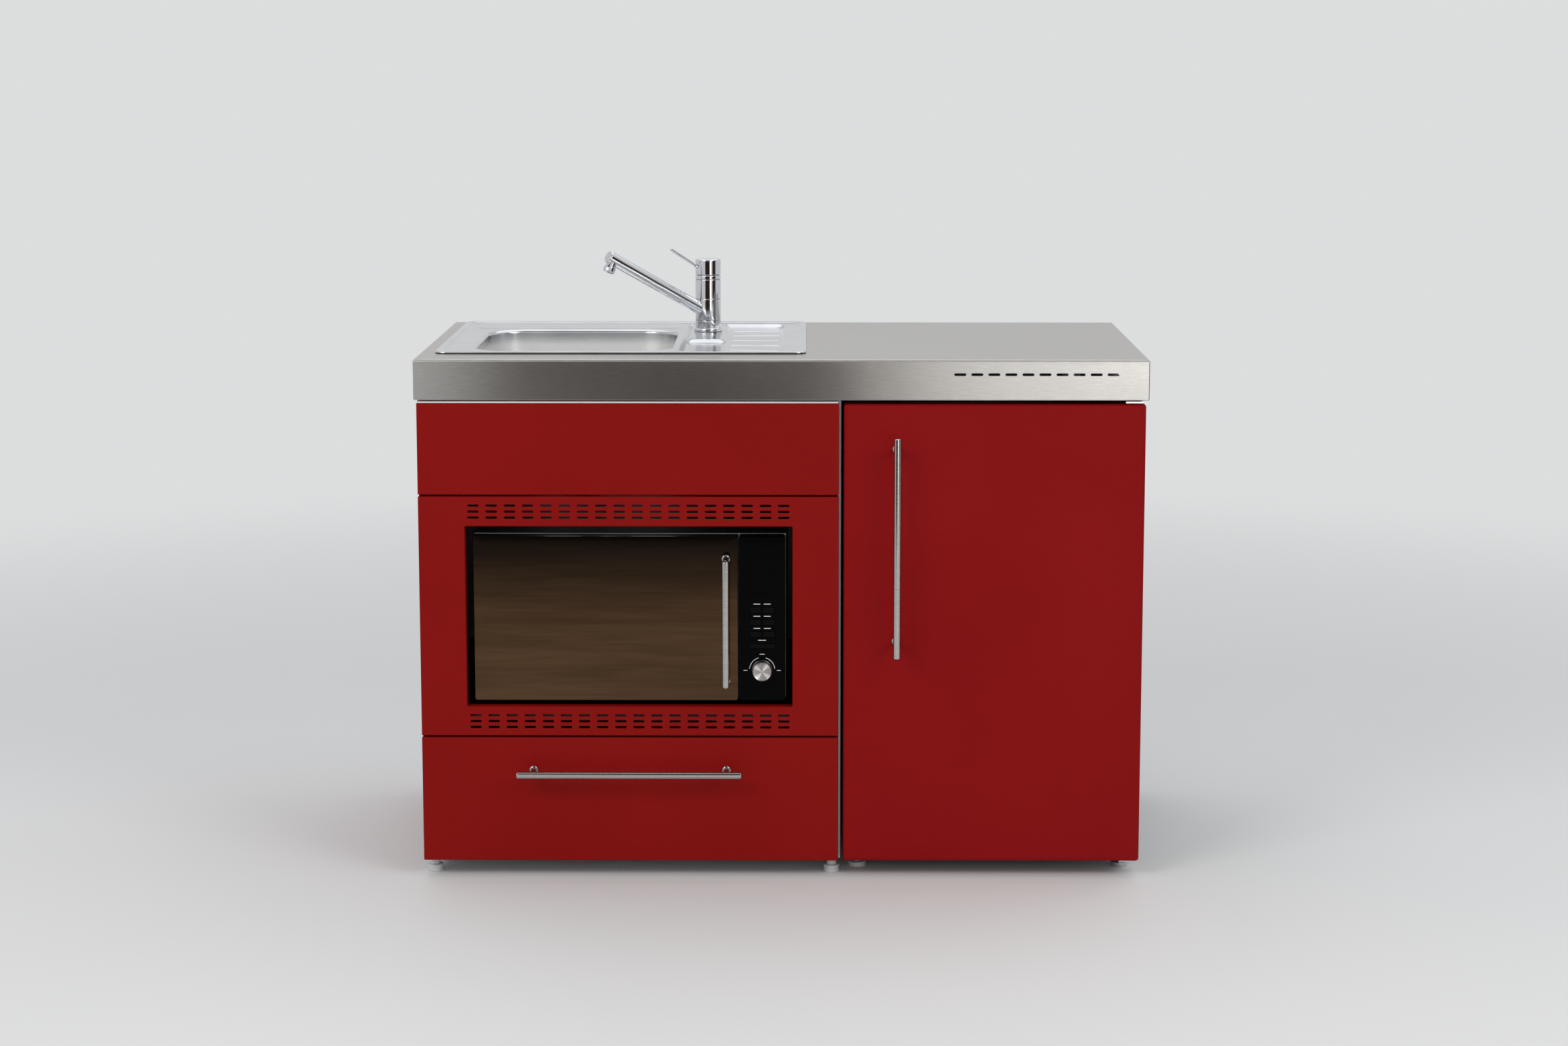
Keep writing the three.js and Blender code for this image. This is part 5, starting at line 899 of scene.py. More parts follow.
# The oven's surround: the same tray with a framed opening, and a grille of slots above and below it.
def makeSurround():
    v = surroundValues
    low, high = boxOf("microwave_surround")
    middle = (low + high) / 2
    place = facingFront(low[1])
    r, depth = frontValues["edgeRadius"], high[1] - low[1]
    margin = r + v["openingMargin"]
    hx = middle[0] + (v["openingWidth"] / 2 + margin) * np.array([-1, 1])
    hz = middle[2] + (v["openingHeight"] / 2 + margin) * np.array([-1, 1])
    band = (high[2] - low[2] - v["openingHeight"]) / 4
    cellsX = middle[0] + (np.arange(v["columns"] + 1) - v["columns"] / 2) * v["slotAcross"]
    cellsZ = [centre + (np.arange(v["rows"] + 1) - v["rows"] / 2) * v["slotUp"]
              for centre in (low[2] + band, high[2] - band)]
    slots = [(cellsX[i], cellsX[i + 1], rows[j], rows[j + 1])
             for rows in cellsZ for j in range(v["rows"]) for i in range(v["columns"])]
    edge, gap, pitch = frontValues["gridMargin"], v["gridGap"], v["gridPitch"]
    xs = lines(low[0], high[0], between(low[0] + edge, cellsX[0] - gap, pitch), hx, cellsX,
               between(cellsX[-1] + gap, high[0] - edge, pitch))
    zs = lines(low[2], high[2], [low[2] + 7 * mm, high[2] - 7 * mm], *cellsZ, hz,
               between(hz[0] + v["frameGap"], hz[1] - v["frameGap"], v["framePitch"]))
    skin = Surface().grid(frameRings(xs, zs, foldLevels(depth, r, frontValues["corner"]), place))
    rim = slotRim(v["slotLength"], v["slotHeight"], v["slotAcross"], v["slotUp"])
    sheetFace(skin, insideFold(xs, r), insideFold(zs, r), place, holes=[(*hx, *hz)], slots=slots, rim=rim)
    near = 1e-6
    inX, inZ = [values[(values >= ends[0] - near) & (values <= ends[1] + near)]
                for values, ends in ((xs, hx), (zs, hz))]
    turn = np.linspace(0, math.pi / 2, 5)
    out, back = r * (1 - np.sin(turn)), r * (1 - np.cos(turn))
    into = [(0, 0, 0)] + [(margin - o, v["openingCorner"] + o, d) for o, d in zip(out, back)]
    skin.grid(frameRings(inX, inZ, into + [(margin, v["openingCorner"], depth)], place))
    makePiece("ovenSurround", skin, "redPaint", "cabinet", ["microwave_surround"],
              facing=(0, -1, 0), thickness=frontValues["sheet"])


stripValues = {"height": (0.05 * mm, 2.9 * mm), "inset": 1 * mm, "setback": 1.2 * mm, "corner": 0.9 * mm,
               "levels": [(0.5 * mm, 0), (0, 0.5 * mm), (0, 13 * mm), (0.3 * mm, 13.4 * mm)]}


# A pale strip lies along the top of the sink panel, under the worktop: a slab a little behind its face.
# Its pale grey is partly the strip's own colour and partly painted light, against the worktop's shade.
def makePanelStrip():
    v = stripValues
    low, high = boxOf("sink_front_panel")
    z0, z1 = high[2] + v["height"][0], high[2] + v["height"][1]
    strip = slab(low[0] + v["inset"], high[0] - v["inset"], z0, z1, v["corner"], v["levels"],
                 facingFront(low[1] + v["setback"]))
    makePiece("panelStrip", Surface().grid(strip), "stripPaintedLightGrey", "cabinet", (), angle=40)


# The red fronts: the same fold for the panel and the drawer, and a rounder one for the fridge's door.
def makeFronts():
    v = frontValues
    fold = v["edgeRadius"], v["corner"], v["sheet"]
    makePanelStrip()
    plainFront("sinkPanel", "sink_front_panel", "cabinet", "redPaint", *fold)
    plainFront("drawerFront", "drawer_front", "drawer", "redPaint", *fold)
    plainFront("fridgeDoorSkin", "fridge_door", "fridge_door_body", "doorRedPaint",
               v["doorRadius"], v["doorRadius"], v["doorSheet"])
    makeSurround()


makeFronts()
print("fronts done")


handleValues = {"bar": 6 * mm, "post": 4.5 * mm, "foot": 7 * mm, "footHeight": 3 * mm,
                "endRound": 0.9 * mm, "spacing": 320 * mm, "ovenSpacing": 206 * mm,
                "ovenLength": 212 * mm, "pitch": 30 * mm}


# A ground bar with softened ends on two posts, each with a round foot: all of them turned profiles.
def barHandle(name, node, body, along, spacing, finish, length=None):
    v = handleValues
    low, high = boxOf(node)
    middle = (low + high) / 2
    axis = np.array((1, 0, 0) if along == "x" else (0, 0, 1), float)
    half = (length or (high - low) @ axis) / 2
    r, e, foot, h = v["bar"], v["endRound"], v["foot"], v["footHeight"]
    front, reach = low[1] + r, high[1] - low[1] - r
    end = [(0, -half), (r - 2.4 * e, -half + 0.05 * e), (r - e, -half + 0.25 * e),
           (r - 0.25 * e, -half + e), (r, -half + 2 * e)]
    rows = between(-half + 2 * e, half - 2 * e, v["pitch"])
    bar = end + [(r, z) for z in rows[1:-1]] + [(radius, -z) for radius, z in end[::-1]]
    centre = np.array([middle[0], front, middle[2]])
    shape = Surface().grid(lathe(bar, 40, centre, axis))
    post = [(0, 0), (v["post"], 0), (v["post"], reach - h - 3 * mm),
            (v["post"] + 0.7 * mm, reach - h - 0.6 * mm), (foot - 0.8 * mm, reach - h),
            (foot, reach - h + 0.8 * mm), (foot, reach), (0, reach)]
    for side in (-1, 1):
        shape.grid(lathe(post, 32, centre + axis * side * spacing / 2, (0, 1, 0)))
    makePiece(name, shape, finish, body, [node], angle=40)


barHandle("drawerBar", "drawer_handle", "drawer", "x", handleValues["spacing"], "brushedBarX")
barHandle("doorBar", "fridge_handle", "fridge_door_body", "z", handleValues["spacing"], "brushedBarZ")
barHandle("ovenBar", "microwave_handle", "oven_door", "z", handleValues["ovenSpacing"], "brushedBarZ",
          handleValues["ovenLength"])
print("handles done")


tapValues = {
    "foot": 870 * mm, "azimuth": 214.9, "radius": 22.5 * mm, "core": 16 * mm, "edge": 0.8 * mm,
    "play": 0.4 * mm, "flange": 8 * mm, "base": 22 * mm, "collar": 60 * mm, "body": 94 * mm,
    "ring": 101 * mm, "ringPlay": 0.3 * mm, "capFoot": 103 * mm, "cap": 130 * mm, "seat": 123 * mm,
    "spoutRadius": 11 * mm, "spoutRoot": 34 * mm, "reach": 205 * mm, "spoutEnd": 143 * mm,
    "spoutInset": 17 * mm, "nozzleBack": 12.5 * mm,
    "leverRadius": 2.6 * mm, "leverLength": 69 * mm, "leverInset": 11 * mm, "leverRise": 31,
    "leverRoot": 115 * mm, "screwBelow": 8 * mm,
    # profiles in mm: of the shank and the flange, the nut under the sink, the nozzle and the grub screw
    "shank": [(0, -38), (16, -38), (16, 2.3), (24.4, 2.3), (25, 2.9), (25, 6.4), (24.6, 7.4), (23.6, 8)],
    "nut": [(0, -11), (23, -11), (25, -10), (25, -1), (24, -0.2), (0, -0.2)],
    "nozzle": [(0, 0), (9, 0), (9, 14), (9.4, 14.4), (10.4, 15), (10.5, 16), (10.5, 22.4), (10, 23.4),
               (8.8, 24), (7.6, 23.8), (7.4, 21.4), (0, 21.2)],
    "screw": [(0, -1), (1.8, -1), (1.8, 0.3), (1.4, 0.6), (0.9, 0.6), (0.8, -0.6), (0, -0.6)]}


# The tap's origin on the worktop, the way it points, and up.
def tapAxes():
    low, high = boxOf("tap_body")
    turn = math.radians(tapValues["azimuth"])
    origin = np.array([(low[0] + high[0]) / 2, (low[1] + high[1]) / 2, tapValues["foot"]])
    return origin, np.array([math.cos(turn), math.sin(turn), 0]), np.array([0, 0, 1.0])


# The column, turned: shank, flange, base, a thinner core inside the spout's sleeve, and the body over it.
def makeTapColumn():
    v = tapValues
    origin = tapAxes()[0]
    r, e, core, body = v["radius"], v["edge"], v["core"], v["body"]
    column = [(radius * mm, z * mm) for radius, z in v["shank"]]
    column += [(r + 0.4 * mm, v["flange"] + 0.1 * mm), (r, v["flange"] + 0.6 * mm),
               *topEdge(r, v["base"], e), (core, v["base"]), (core, v["collar"]),
               *footEdge(r, v["collar"], e), *topEdge(r, body, e), (r - 4 * mm, body), (0, body + 5 * mm)]
    shape = Surface().grid(lathe(column, 72, origin)).grid(turned(v["nut"], 6, origin))
    makePiece("tapColumn", shape, "chrome", "cabinet", ["tap_body"], angle=36)


# The spout: a sleeve round the core, a straight arm that rises from it, and the nozzle square to the arm.
def makeTapSpout():
    v = tapValues
    origin, ahead, up = tapAxes()
    r, e, s, bore = v["radius"], v["edge"], v["spoutRadius"], v["core"] + v["play"]
    low, high = v["base"] + v["play"], v["collar"] - v["play"]
    sleeve = [(bore, low), *footEdge(r, low, e), *topEdge(r, high, e), (bore, high), (bore, low)]
    climb = v["spoutEnd"] - v["spoutRoot"]
    slope, length = math.atan2(climb, v["reach"]), math.hypot(v["reach"], climb)
    out = ahead * math.cos(slope) + up * math.sin(slope)
    down = ahead * math.sin(slope) - up * math.cos(slope)
    root = origin + up * v["spoutRoot"]
    arm = [(0, v["spoutInset"]), (s, v["spoutInset"])]
    arm += [(s, d) for d in np.linspace(30 * mm, length - 2.4 * mm, 9)]
    arm += [(s - 0.2 * mm, length - 1.4 * mm), (s - 0.8 * mm, length - 0.5 * mm), (s - 2 * mm, length),
            (0, length)]
    shape = Surface().grid(lathe(sleeve, 72, origin)).grid(lathe(arm, 48, root, out))
    shape.grid(turned(v["nozzle"], 40, root + out * (length - v["nozzleBack"]), down))
    makePiece("tapSpout", shape, "chrome", "spout", ["tap_spout"], angle=36)


# The ring and the cap, turned; the cap is hollow under the ball that it tilts on, whose bowl is an arc.
def makeTapCap():
    v = tapValues
    origin, ahead, up = tapAxes()
    r, e, foot, cap = v["radius"], v["edge"], v["capFoot"], v["cap"]
    low, high = v["body"] + v["ringPlay"], v["ring"]
    ring = [(r - 4 * mm, low), *footEdge(r, low, e), *topEdge(r, high, e), (r - 3 * mm, high),
            (r - 4 * mm, high - 1 * mm), (r - 4 * mm, low)]
    makePiece("tapRing", Surface().grid(lathe(ring, 72, origin)), "chrome", "tap_ring", ["tap_cap_ring"],
              angle=36)
    ball = math.hypot(r, v["seat"] - foot)
    seat = [(ball * math.sin(a), v["seat"] - ball * math.cos(a))
            for a in np.radians(np.linspace(0, 48, 6))]
    drum = [point for point in seat if point[0] < r - 1.2 * e]
    drum += [(r - 0.9 * e, foot), (r - 0.2 * e, foot + 0.3 * e), (r, foot + e), (r, cap - 2.6 * mm),
             (r - 0.4 * mm, cap - 1.3 * mm), (r - 1.3 * mm, cap - 0.4 * mm), (r - 2.6 * mm, cap), (0, cap)]
    screwAt = origin + ahead * r + up * (v["leverRoot"] - v["screwBelow"])
    shape = Surface().grid(lathe(drum, 72, origin)).grid(turned(v["screw"], 20, screwAt, ahead))
    makePiece("tapCap", shape, "chrome", "tap_handle", ["tap_cap"], angle=36)


# The pin lever: a thin rod that rises out of the cap, with a boot where it leaves it.
def makeTapLever():
    v = tapValues
    origin, ahead, up = tapAxes()
    rise, inset, w = math.radians(v["leverRise"]), v["leverInset"], v["leverRadius"]
    pointing = ahead * math.cos(rise) + up * math.sin(rise)
    start = origin + ahead * (v["radius"] - inset) * math.cos(rise)
    start += up * (v["leverRoot"] - inset * math.sin(rise))
    reach = v["leverLength"] + inset
    stick = [(0, 0), (w, 0)] + [(w, d) for d in np.linspace(10 * mm, reach - 2 * mm, 6)]
    stick += [(w * 0.92, reach - 1 * mm), (w * 0.6, reach - 0.3 * mm), (0, reach)]
    boot = [(w, 10 * mm), (w + 1.7 * mm, 10 * mm), (w + 1.7 * mm, 13.4 * mm), (w + 1.2 * mm, 14.2 * mm),
            (w, 14.4 * mm)]
    shape = Surface().grid(lathe(stick, 40, start, pointing)).grid(lathe(boot, 40, start, pointing))
    makePiece("tapLever", shape, "chrome", "tap_handle", ["tap_lever"], angle=36)


makeTapColumn()
makeTapSpout()
makeTapCap()
makeTapLever()
print("tap done")


panelValues = {"centre": -31.6 * mm, "knob": 350.3 * mm, "black": (0.0004, 0.0004, 0.0004),
               "dust": (0.0012, 0.0012, 0.0012), "ink": (0.62, 0.64, 0.66), "bevel": 0.25 * mm,
               # marks in mm from the knob's middle: over the key pairs, over the wide key, and ticks
               "pairHeights": (111, 90.5, 70), "pairBeside": 8.6, "pairHalf": (5.6, 0.65),
               "bars": [(0, 50, 6.5, 0.65), (0, 26.5, 4.2, 0.6), (-27.5, -1, 3.2, 0.6),
                        (27.5, -1, 3.2, 0.6)],
               "arcRadius": 21.0, "arcHalf": 0.55, "arcBeyond": (6, 2)}


# The panel's print: short bars over the keys, and two arcs and three ticks round the knob, added up.
def panelFinish():
    v = panelValues
    p = Paint("panelGloss")
    x, z = p.axes((v["centre"], 0, v["knob"]))[::2]
    x, z = x * 1000, z * 1000
    halfWidth, halfHeight = v["pairHalf"]
    bars = [(side * v["pairBeside"], height, halfWidth, halfHeight)
            for height in v["pairHeights"] for side in (-1, 1)] + v["bars"]
    shapes = [(abs(x - cx) < w) * (abs(z - cz) < h) for cx, cz, w, h in bars]
    radius = (x * x + z * z).root()
    besideX, overZ = v["arcBeyond"]
    shapes.append((abs(radius - v["arcRadius"]) < v["arcHalf"]) * (abs(x) > besideX) * (z > overZ))
    ink = shapes[0]
    for shape in shapes[1:]:
        ink = ink + shape
    ink = ink.atMost(1.0)
    dust = p.noise(420, 3)
    black = p.mix(dust, v["black"], v["dust"])
    return p.surface(baseColor=p.mix(ink, black, v["ink"]), roughness=0.07 + 0.05 * dust + 0.25 * ink,
                     specularIorLevel=0.04)


knobValues = {  # the profile in mm: radius, and place along y from the panel's face
    "back": -261 * mm, "dark": (0.26, 0.24, 0.225), "light": (0.80, 0.78, 0.76), "rings": 2600.0,
    "highlightWedges": 4.0, "highlightTurn": 3.6,
    "profile": [(0, 14), (3, 14), (3, -0.5), (16.2, -0.5), (17, -1.2), (17, -3), (16.5, -3.4),
                (16.5, -4.2), (17, -4.6), (16.8, -13.6), (16.4, -15), (15.6, -16.2), (15, -16.9),
                (14.4, -17), (13.4, -16.5), (10, -16.35), (6, -16.3), (3, -16.3), (0, -16.3)]}


# The knob's face is turned: fine rings round its axis are a bump on it, and the tone carries a painted
# highlight in four wedges, a power of the cosine of four times the angle, with painted streaks that run
# out from the middle.
def turnedFinish(centre):
    v = knobValues
    p = Paint("turnedSteel")
    x, z = p.axes(centre)[::2]
    radius = (x * x + z * z).root()
    angle = z.bearing(x)
    oneWay = {"noise_dimensions": "1D"}
    rings = p.add("TexNoise", oneWay, {"W": radius * v["rings"], "Scale": 1.0, "Detail": 3.0})
    highlightStreaks = p.add("TexNoise", oneWay, {"W": angle * 9.0, "Scale": 1.0, "Detail": 4.0})
    # Painted highlight: four light wedges round the knob's middle, and streaks out from it.
    highlightWedges = ((angle * v["highlightWedges"] - v["highlightTurn"]).cosine() * 0.5 + 0.5) ** 3.0
    share = (highlightWedges * 0.75 + highlightStreaks * 0.45 - 0.1).atLeast(0.0).atMost(1.0)
    tone = p.mix(share, v["dark"], v["light"])
    return p.surface(baseColor=tone, metallic=1.0, roughness=0.24 + 0.08 * rings,
                     normal=p.bump(rings, 0.3, 0.0003))


# The knob: one turned profile with a groove round its skirt and a dished face.
def makeKnob():
    v = knobValues
    low, high = boxOf("microwave_knob")
    cx, cz = (low[0] + high[0]) / 2, (low[2] + high[2]) / 2
    finishes["turnedSteel"] = turnedFinish((cx, low[1], cz))
    shape = Surface().grid(turned(v["profile"], 72, (cx, v["back"], cz), (0, 1, 0)))
    makePiece("ovenKnob", shape, "turnedSteel", "oven_knob", ["microwave_knob"], angle=28)


glassValues = {"edge": 0.9 * mm, "backEdge": 0.3 * mm, "corner": 4 * mm}


# The mirror: a slab with round corners and a ground edge.
def makeDoorGlass():
    v = glassValues
    low, high = boxOf("microwave_door_glass")
    e, back, depth = v["edge"], v["backEdge"], high[1] - low[1]
    levels = [(e, 0), (e * 0.3, e * 0.3), (0, e), (0, depth - back), (back, depth)]
    glass = slab(low[0], high[0], low[2], high[2], v["corner"], levels, facingFront(low[1]))
    makePiece("ovenDoorGlass", Surface().grid(glass), "mirrorGlass", "oven_door",
              ["microwave_door_glass"], angle=50)


plateValues = {  # profiles in mm
    "hubDepth": 12 * mm, "floor": 312.3 * mm, "wheelHeight": 7.3 * mm,
    "plate": [(0, -12), (9, -12), (9, 0.3), (15.4, 0.3), (16, 1), (16, 15), (30, 15), (60, 15), (100, 15),
              (138, 15), (146, 15.2), (152, 17), (156, 20.4), (157, 22.4), (156.8, 23.6), (155.6, 24),
              (154.4, 23.4), (151, 21.6), (146, 21.1), (120, 21), (80, 21), (40, 21), (0, 21)],
    "ring": [(88, 4.8), (88.6, 4.2), (95.4, 4.2), (96, 4.8), (96, 9.2), (95.4, 9.8), (88.6, 9.8),
             (88, 9.2), (88, 4.8)],
    "wheel": [(0, 95), (6.4, 95), (7, 95.6), (7, 102.4), (6.4, 103), (2, 103), (2, 102.2), (0, 102.2)],
    "wheelTurns": (0, 120, 240)}


# The glass plate on its hub, and the ring with three wheels whose axes run out from its middle.
def makeTurntable():
    v = plateValues
    low, high = boxOf("turntable")
    cx, cy = (low[0] + high[0]) / 2, (low[1] + high[1]) / 2
    shape = Surface().grid(turned(v["plate"], 96, (cx, cy, low[2] + v["hubDepth"])))
    makePiece("ovenPlate", shape, "shelfGlass", "turntable_plate", ["turntable"], angle=40)
    shape = Surface().grid(turned(v["ring"], 72, (cx, cy, v["floor"])))
    for turn in np.radians(v["wheelTurns"]):
        out = np.array([math.cos(turn), math.sin(turn), 0])
        shape.grid(turned(v["wheel"], 32, np.array([cx, cy, v["floor"] + v["wheelHeight"]]), out))
    makePiece("rollerRing", shape, "whitePlastic", "rollers", ["roller_ring"], angle=40)


makeDoorGlass()
makeKnob()
makeTurntable()
finishes["panelGloss"] = panelFinish()
softened("microwave_control_panel", "ovenPanel", "panelGloss", "cabinet",
         panelValues["bevel"])
print("oven done")


# Pieces that keep their node's shape, with broken edges: name, finish, body, slot, edge's width in mm.
softParts = {"button_%d" % i: ("ovenKey%d" % i, "blackGloss", "key_%d" % i, "black_gloss", 0.2)
             for i in range(1, 7)}
softParts.update({
    "button_start": ("ovenKeyStart", "blackGloss", "key_start", "black_gloss", 0.2),
    "microwave_door_frame": ("ovenDoorFrame", "frameBlack", "oven_door", "black_gloss", 0.5),
    "microwave_casing": ("ovenCasing", "blackPaint", "cabinet", "black_paint", 0.4),
    "microwave_cavity": ("ovenCavity", "cavityPaint", "cabinet", "grey_paint", 0.8),
    "side_left": ("sideLeft", "redPaint", "cabinet", "red_paint", 0.8),
    "side_right": ("sideRight", "greyPaint", "cabinet", "grey_paint", 0.8),
    "cabinet_floor": ("cabinetFloor", "zinc", "cabinet", "zinc", 0.6),
    # The shelf's zinc is darkened to a tenth: painted shade.
    "microwave_shelf": ("ovenShelf", "zincPaintedShade", "cabinet", "zinc", 0.6),
    "cabinet_back": ("cabinetBack", "zinc", "cabinet", "zinc", 0.4),
    "front_rail": ("frontRail", "greyPaint", "cabinet", "grey_paint", 0.6),
    "drawer_box": ("drawerBox", "zinc", "drawer", "zinc", 0.5),
    "runner_cabinet_left": ("runnerCabinetLeft", "zinc", "cabinet", "zinc", 0.4),
    "runner_cabinet_right": ("runnerCabinetRight", "zinc", "cabinet", "zinc", 0.4),
    "runner_drawer_left": ("runnerDrawerLeft", "zinc", "drawer", "zinc", 0.4),
    "runner_drawer_right": ("runnerDrawerRight", "zinc", "drawer", "zinc", 0.4),
    "fridge_cabinet": ("fridgeBody", "darkPaint", "cabinet", "dark_paint", 1.2),
    "fridge_liner": ("fridgeLiner", "linerPlastic", "cabinet", "white_plastic", 0.8),
    "fridge_door_liner": ("doorLiner", "linerPlastic", "fridge_door_body", "white_plastic", 0.8),
    "door_gasket": ("doorGasket", "gasketRubber", "fridge_door_body", "gasket_rubber", 1.0),
    "fridge_hinge_upper": ("hingeUpper", "chrome", "cabinet", "chrome", 0.5),
    "fridge_hinge_lower": ("hingeLower", "chrome", "cabinet", "chrome", 0.5),
    "shelf_lower": ("shelfLower", "shelfGlass", "cabinet", "glass", 0.4),
    "shelf_upper": ("shelfUpper", "shelfGlass", "cabinet", "glass", 0.4),
    "crisper": ("crisperBin", "clearPlastic", "crisper_bin", "clear_plastic", 0.4),
    "rack_lower": ("rackLower", "clearPlastic", "fridge_door_body", "clear_plastic", 0.4),
    "rack_upper": ("rackUpper", "clearPlastic", "fridge_door_body", "clear_plastic", 0.4),
    "thermostat_dial": ("thermostatDial", "whitePlastic", "dial", "white_plastic", 0.6),
})

for node, (name, finish, body, slotName, width) in softParts.items():
    softened(node, name, finish, body, width * mm)
print("softened parts done:", len(softParts))


footValues = {  # profiles in mm
    "disc": [(0, 0), (11.6, 0), (12.4, 0.3), (13, 1.2), (13, 5), (12.4, 5.6), (12.4, 6.8), (13, 7.4),
             (13, 11), (12.6, 11.7), (11.8, 12), (8.4, 12), (8, 12.5), (8, 27.2), (7.4, 27.9), (4, 28.1)],
    "stem": (4, 0.35, 28.6, 0.6, 22),  # the thread's radius, depth, start, pitch and turns
    "stemTop": [(3.4, 42), (0, 42)],
    "fridgeDisc": [(0, 0), (13.6, 0), (14.6, 0.4), (15, 1.2), (15, 6.8), (14.4, 7.7), (13.4, 8), (5.4, 8),
                   (5, 8.4)],
    "fridgeStem": (5, 0.4, 9, 0.8), "fridgeStemEnd": 4.6}


# A foot is turned: a disc, and a stem whose thread is a zigzag of the radius along z.
def makeFoot(node, name, profile):
    low, high = boxOf(node)
    centre = ((low[0] + high[0]) / 2, (low[1] + high[1]) / 2, low[2])
    makePiece(name, Surface().grid(turned(profile, 48, centre)), "footPlastic", "cabinet", [node],
              angle=35)


# The thread's points: every other one lies deeper.
def thread(radius, depth, start, pitch, turns):
    return [(radius - depth * (i % 2), start + i * pitch) for i in range(turns)]


# Four ribbed feet under the cabinet and a plain one under the fridge, as long as its node.
def makeFeet():
    v = footValues
    profile = v["disc"] + thread(*v["stem"]) + v["stemTop"]
    for end in ("Front", "Rear"):
        for side in ("Left", "Right"):
            makeFoot("foot_%s_%s" % (end.lower(), side.lower()), "foot" + end + side, profile)
    low, high = boxOf("fridge_foot")
    top = (high[2] - low[2]) / mm
    radius, depth, start, pitch = v["fridgeStem"]
    turns = int((top - start - 1) / pitch)
    profile = v["fridgeDisc"] + thread(radius, depth, start, pitch, turns)
    makeFoot("fridge_foot", "fridgeFoot", profile + [(v["fridgeStemEnd"], top), (0, top)])


compressorValues = {  # profiles and routes in mm
    "can": [(0, 8), (46, 8), (52, 9.6), (58, 14), (61, 21), (62, 29), (62, 44), (62.8, 45), (62.8, 49),
            (62, 50), (62, 68), (60.6, 76), (56, 84), (48, 90), (36, 94), (18, 95.8), (0, 96)],
    "foot": [(0, 2), (40, 2), (42, 3), (42, 9), (0, 9)],
    "plateHalf": (90 * mm, 55 * mm), "plateCorner": 9 * mm, "plateThickness": 3 * mm,
    "plateEdge": 0.6 * mm,
    "pipe": [(52, 0, 40), (78, 0, 41), (78, 0, 86)], "pipeRadius": 4 * mm, "pipeBend": 12 * mm}


# A welded can with a seam round its middle, turned, on a plate, with a bent pipe on either side.
def makeCompressor():
    v = compressorValues
    low, high = boxOf("compressor")
    cx, cy, base = (low[0] + high[0]) / 2, (low[1] + high[1]) / 2, low[2]
    shape = Surface().grid(turned(v["can"], 64, (cx, cy, base)))
    shape.grid(turned(v["foot"], 48, (cx, cy, base)))
    (w, d), t, e = v["plateHalf"], v["plateThickness"], v["plateEdge"]
    levels = [(e, 0), (0, e), (0, t - e), (e, t)]
    shape.grid(slab(cx - w, cx + w, cy - d, cy + d, v["plateCorner"], levels, facingUp(base + t)))
    for side in (-1, 1):
        route = np.array(v["pipe"]) * (side, 1, 1) * mm + (cx, cy, base)
        shape.grid(tube(roundedPath(route, v["pipeBend"], 6), v["pipeRadius"], 20))
    makePiece("compressorCan", shape, "blackPaint", "cabinet", ["compressor"], angle=35)


trapValues = {  # profiles in mm; heights from the bowl's floor
    "cup": [(0, -50), (37, -50), (39.2, -49), (40, -47), (40, -12.2), (48.6, -12.2), (50, -11.4), (50, -3),
            (49.2, -2), (37.5, -2), (37.5, -44), (0, -46)],
    "nut": [(18, 0), (21.4, 0), (22, 0.8), (22, 13), (21, 14), (18, 14), (18, 0)],
    "radius": 18 * mm, "bend": 29.5 * mm, "start": 30 * mm, "axis": -31 * mm, "leg": 223 * mm,
    "drop": 84 * mm, "outlet": 32 * mm, "across": 60 * mm, "lean": 1 * mm, "wallEnd": 316 * mm,
    "nutAlong": 60 * mm, "nutBelow": 38 * mm}


# The waste's cup under the bowl with its nut, and a pipe that runs back, dips and rises to the outlet.
def makeTrap():
    v = trapValues
    cx, cy, floor = wasteCentre()
    axis, leg, across = v["axis"], v["leg"], v["across"]
    low, out, wallEnd = axis - v["drop"], axis - v["outlet"], v["wallEnd"] - cy
    corners = [(0, v["start"], axis), (0, leg, axis), (0, leg, low), (across, leg, low),
               (across, leg + v["lean"], out), (across, wallEnd, out)]
    route = roundedPath(np.array(corners) + (cx, cy, floor), v["bend"], 8)
    shape = Surface().grid(turned(v["cup"], 64, (cx, cy, floor))).grid(tube(route, v["radius"], 40))
    shape.grid(turned(v["nut"], 8, (cx, cy + v["nutAlong"], floor + axis), (0, 1, 0)))
    shape.grid(turned(v["nut"], 8, (cx, cy + leg, floor + axis - v["nutBelow"]), (0, 0, -1)))
    makePiece("wasteTrap", shape, "whitePlastic", "cabinet", ["sink_trap"], angle=35)


trimValues = {"inset": 2 * mm, "over": 0.35 * mm, "ahead": 0.3 * mm, "corner": 1.8 * mm,
              "levels": [(1.2 * mm, 0), (0.4 * mm, 0.4 * mm), (0, 1.4 * mm), (0, 9 * mm)]}


# White trims along the front edges of the two glass shelves: slabs a little taller than the glass.
def makeTrims():
    v = trimValues
    for node, name in (("shelf_lower", "trimLower"), ("shelf_upper", "trimUpper")):
        low, high = boxOf(node)
        z, half = (low[2] + high[2]) / 2, (high[2] - low[2]) / 2 + v["over"]
        trim = slab(low[0] + v["inset"], high[0] - v["inset"], z - half, z + half, v["corner"],
                    v["levels"], facingFront(low[1] - v["ahead"]))
        makePiece(name, Surface().grid(trim), "linerPlastic", "cabinet", (), angle=40)


makeFeet()
makeCompressor()
makeTrap()
makeTrims()
print("feet, compressor, trap and trims done")


viewValues = {"place": (37.5 * mm, -5083.9 * mm, 1420.8 * mm), "pitch": 8.24, "turn": 0.39, "lens": 68.26,
              "shift": -0.048, "sensor": 36, "farthest": 100}


